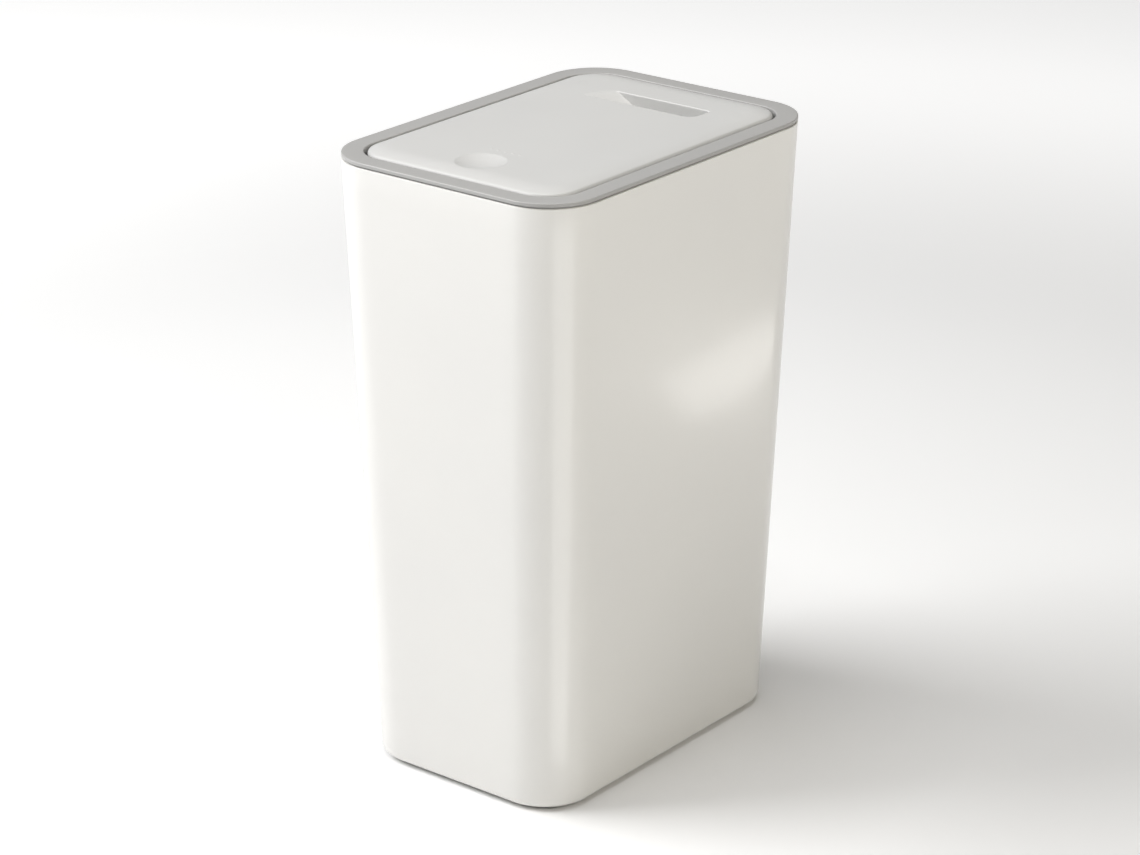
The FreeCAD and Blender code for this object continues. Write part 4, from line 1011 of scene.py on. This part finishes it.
def screw(head_radius, head, shank_radius, length):
    """Pan-head screw, head up, its seat at z = 0 and its threaded shank below."""
    edge = HEAD_EDGE * head
    face = head_radius - edge
    rim = [(shank_radius, 0.0), (head_radius, 0.0), (head_radius, head - edge)]
    rim += [(face + edge * math.cos(math.radians(angle)), head - edge + edge * math.sin(math.radians(angle)))
            for angle in (22, 45, 68, 90)]
    arm = min(RECESS_ARM * head_radius, face - 0.1 * MM)
    width = RECESS_WIDTH * head_radius
    top = drape([lifted(circle(MIDDLE, face, TURN_STEPS), head), cross_loop(arm, width, head),
                 cross_loop(arm * 0.9, width * 0.85, head * (1 - RECESS_DEPTH))])
    pitch = THREAD_PITCH * shank_radius
    groove = shank_radius * (1 - THREAD_DEPTH)
    shank = [(shank_radius, 0.0)]
    height = -0.4 * MM
    while height > -length + 2 * pitch:
        shank += [(groove, height), (shank_radius, height - pitch / 2)]
        height -= pitch
    shank += [(shank_radius * 0.75, -length + 0.3 * shank_radius), (shank_radius * 0.35, -length),
              (0.0, -length)]
    return [revolve(rim, TURN_STEPS), top, revolve(shank, TURN_STEPS)]


def make_screws():
    """Every screw points up, its head below: six hold the liner, two the striker and two the latch."""
    for node, (places, seat, sizes) in SCREWS.items():
        shapes = []
        for index, place in enumerate(places):
            turn = Matrix.Rotation(math.radians(37 * index), 4, "Z") @ Matrix.Rotation(math.pi, 4, "X")
            spot = Matrix.Translation((place.x, place.y, seat)) @ turn
            for points, faces in screw(*(size * MM for size in sizes)):
                shapes.append(([spot @ point for point in points], faces))
        piece(node + "_set", node, mesh_of(shapes), SCREW_STEEL)


def finish_follower():
    """The follower's bent wire keeps its CAD shape, in steel."""
    for place in frame["nodes"]["latch_follower"].material_slots:
        place.material = PIN_STEEL


# -------- stage, lights and camera
VIEW_AZIMUTH = 38.49
VIEW_ELEVATION = 21.31
VIEW_DISTANCE = 2.122
VIEW_LENS = 111.65
AIM = Vector((-0.0016, -0.0012, 0.1952))
LIGHTS_AIM = Vector((0, 0, 0.2))
FLOOR_REACH = 30.0
# painted light: the floor's emission, which brightens it away from the object
GLOWS = ((0.8, 1.6, 0.41), (2.4, 5.5, 0.5))  # the paper's glow: metres where it starts and ends, gain
BACKDROP_GLOW = 0.92
CORNER_APEX = Vector((0.075, -0.106, 0.004))
CORNER_BAND = (48.0, 90.0)  # azimuths between which the near corner mirrors the card
CORNER_REACH = (0.04, 1.05)
CORNER_GLOW = 1.5
GLINT = Vector((TUB_HIGH.x - 5 * MM, 0.084, 0.237))
GLINT_WAY = Vector((0.553, 0.729, -0.403))  # where the right wall mirrors the camera's ray to
GLINT_DISTANCE = 0.42


def direction(azimuth, elevation):
    """Unit vector from the object towards a viewer; azimuth 0 is in front and 90 on the right."""
    turn, lift = math.radians(azimuth), math.radians(elevation)
    return Vector((math.sin(turn) * math.cos(lift), -math.cos(turn) * math.cos(lift), math.sin(lift)))


def make_camera():
    camera = new_object("camera", bpy.data.cameras.new("camera"))
    camera.data.lens = VIEW_LENS
    camera.data.sensor_width = 36
    camera.data.clip_end = 100
    away = direction(VIEW_AZIMUTH, VIEW_ELEVATION)
    camera.location = AIM + away * VIEW_DISTANCE
    camera.rotation_euler = away.to_track_quat("Z", "Y").to_euler()
    bpy.context.scene.camera = camera


def make_world():
    """Pale surroundings that only the camera sees."""
    world = bpy.data.worlds.new("studio")
    bpy.context.scene.world = world
    world.use_nodes = True
    background = next(item for item in world.node_tree.nodes if item.type == "BACKGROUND")
    background.inputs["Color"].default_value = (1.0, 1.0, 1.0, 1)
    background.inputs["Strength"].default_value = BACKDROP_GLOW
    for ray in ("diffuse", "glossy", "transmission", "scatter"):
        setattr(world.cycles_visibility, ray, False)


def panel(name, place, target, width, height, power, colour=(1, 1, 1), roll=0.0):
    """Rectangular area light that faces a point and isn't itself seen by the camera."""
    data = bpy.data.lights.new(name, "AREA")
    data.shape = "RECTANGLE"
    data.size = width
    data.size_y = height
    data.energy = power
    data.color = colour
    light = new_object(name, data)
    light.location = place
    facing = (place - target).to_track_quat("Z", "Y").to_matrix()
    light.rotation_euler = (facing @ Matrix.Rotation(math.radians(roll), 3, "Z")).to_euler()
    light.visible_camera = False
    return light


def softbox(name, azimuth, elevation, distance, size, power, colour=(1, 1, 1)):
    """Square softbox that faces the middle of the object."""
    place = LIGHTS_AIM + direction(azimuth, elevation) * distance
    panel(name, place, LIGHTS_AIM, size, size, power, colour)


def make_corner_card():
    """Bright wedge on the floor, seen only in the tub's gloss, for the pale band down the near corner."""
    near, far = ([CORNER_APEX + direction(azimuth, 0) * reach for azimuth in steps_between(*CORNER_BAND, 8)]
                 for reach in CORNER_REACH)
    mesh = bpy.data.meshes.new("corner_card")
    mesh.from_pydata(near + far, [], [(step, step + 1, step + 10, step + 9) for step in range(8)])
    card = new_object("corner_card", mesh)
    material, tree, principled, place = shader("card_glow", Emission_Strength=CORNER_GLOW)
    tree.links.new(blend_colours(tree, noise(tree, place, scale=2.0), (1.0, 1.0, 1.0), (0.99, 0.99, 0.99)),
                   principled.inputs["Emission Color"])
    mesh.materials.append(material)
    for ray in ("visible_camera", "visible_diffuse", "visible_shadow", "visible_transmission"):
        setattr(card, ray, False)


def make_lights():
    softbox("key", -57, 42, distance=2.6, size=1.6, power=58)
    softbox("front", -12, 25, distance=3.0, size=1.6, power=6.6)
    softbox("front_low", -50, 12, distance=2.5, size=1.6, power=4.2)
    softbox("warm_side", 85, 30, distance=3.0, size=1.6, power=26.5, colour=(1.0, 0.948, 0.835))
    softbox("overhead", 0, 88, distance=2.2, size=1.4, power=28.5)
    # a card that is only there to be mirrored in the right side
    card = panel("side_card", GLINT + GLINT_WAY * GLINT_DISTANCE, GLINT, width=0.10, height=0.036,
                 power=0.040, colour=(1.0, 0.98, 0.95), roll=36)
    card.visible_diffuse = False
    make_corner_card()
    bpy.context.scene.view_settings.view_transform = "Standard"


def make_stage():
    """White paper floor with painted light: an emission brightens it away from the object, as a lit studio
    sweep does.
    """
    reach = FLOOR_REACH
    corners = [Vector((x * reach, y * reach, 0)) for x, y in ((-1, -1), (1, -1), (1, 1), (-1, 1))]
    mesh = mesh_of([(corners, [(0, 1, 2, 3)])])
    floor = new_object("floor", mesh)
    material, tree, principled, place = shader("floor_white_painted_glow", Roughness=0.7, Specular_IOR_Level=0.2,
                                               Emission_Color=(1, 1, 1, 1))
    cloud = noise(tree, place, scale=1.2)
    clouded(tree, principled, cloud, (0.93, 0.93, 0.93), (0.945, 0.945, 0.945))
    away = add(tree, "ShaderNodeVectorMath", {0: place}, operation="LENGTH").outputs["Value"]
    near, far = (add(tree, "ShaderNodeMapRange", {"Value": away, "From Min": start, "From Max": end,
                                                  "To Min": 0.0, "To Max": gain},
                     interpolation_type="SMOOTHSTEP").outputs["Result"] for start, end, gain in GLOWS)
    # painted light: emission that brightens the floor away from the object
    glow = add(tree, "ShaderNodeMath", {0: near, 1: far}, operation="ADD").outputs["Value"]
    tree.links.new(glow, principled.inputs["Emission Strength"])
    mesh.materials.append(material)


make_camera()
make_world()
make_lights()
make_stage()
make_tub()
make_feet()
make_rim_ring()
make_lid()
make_mouldings()
make_torsion_springs()
make_hinge_pins()
make_screws()
make_latch_spring()
finish_follower()
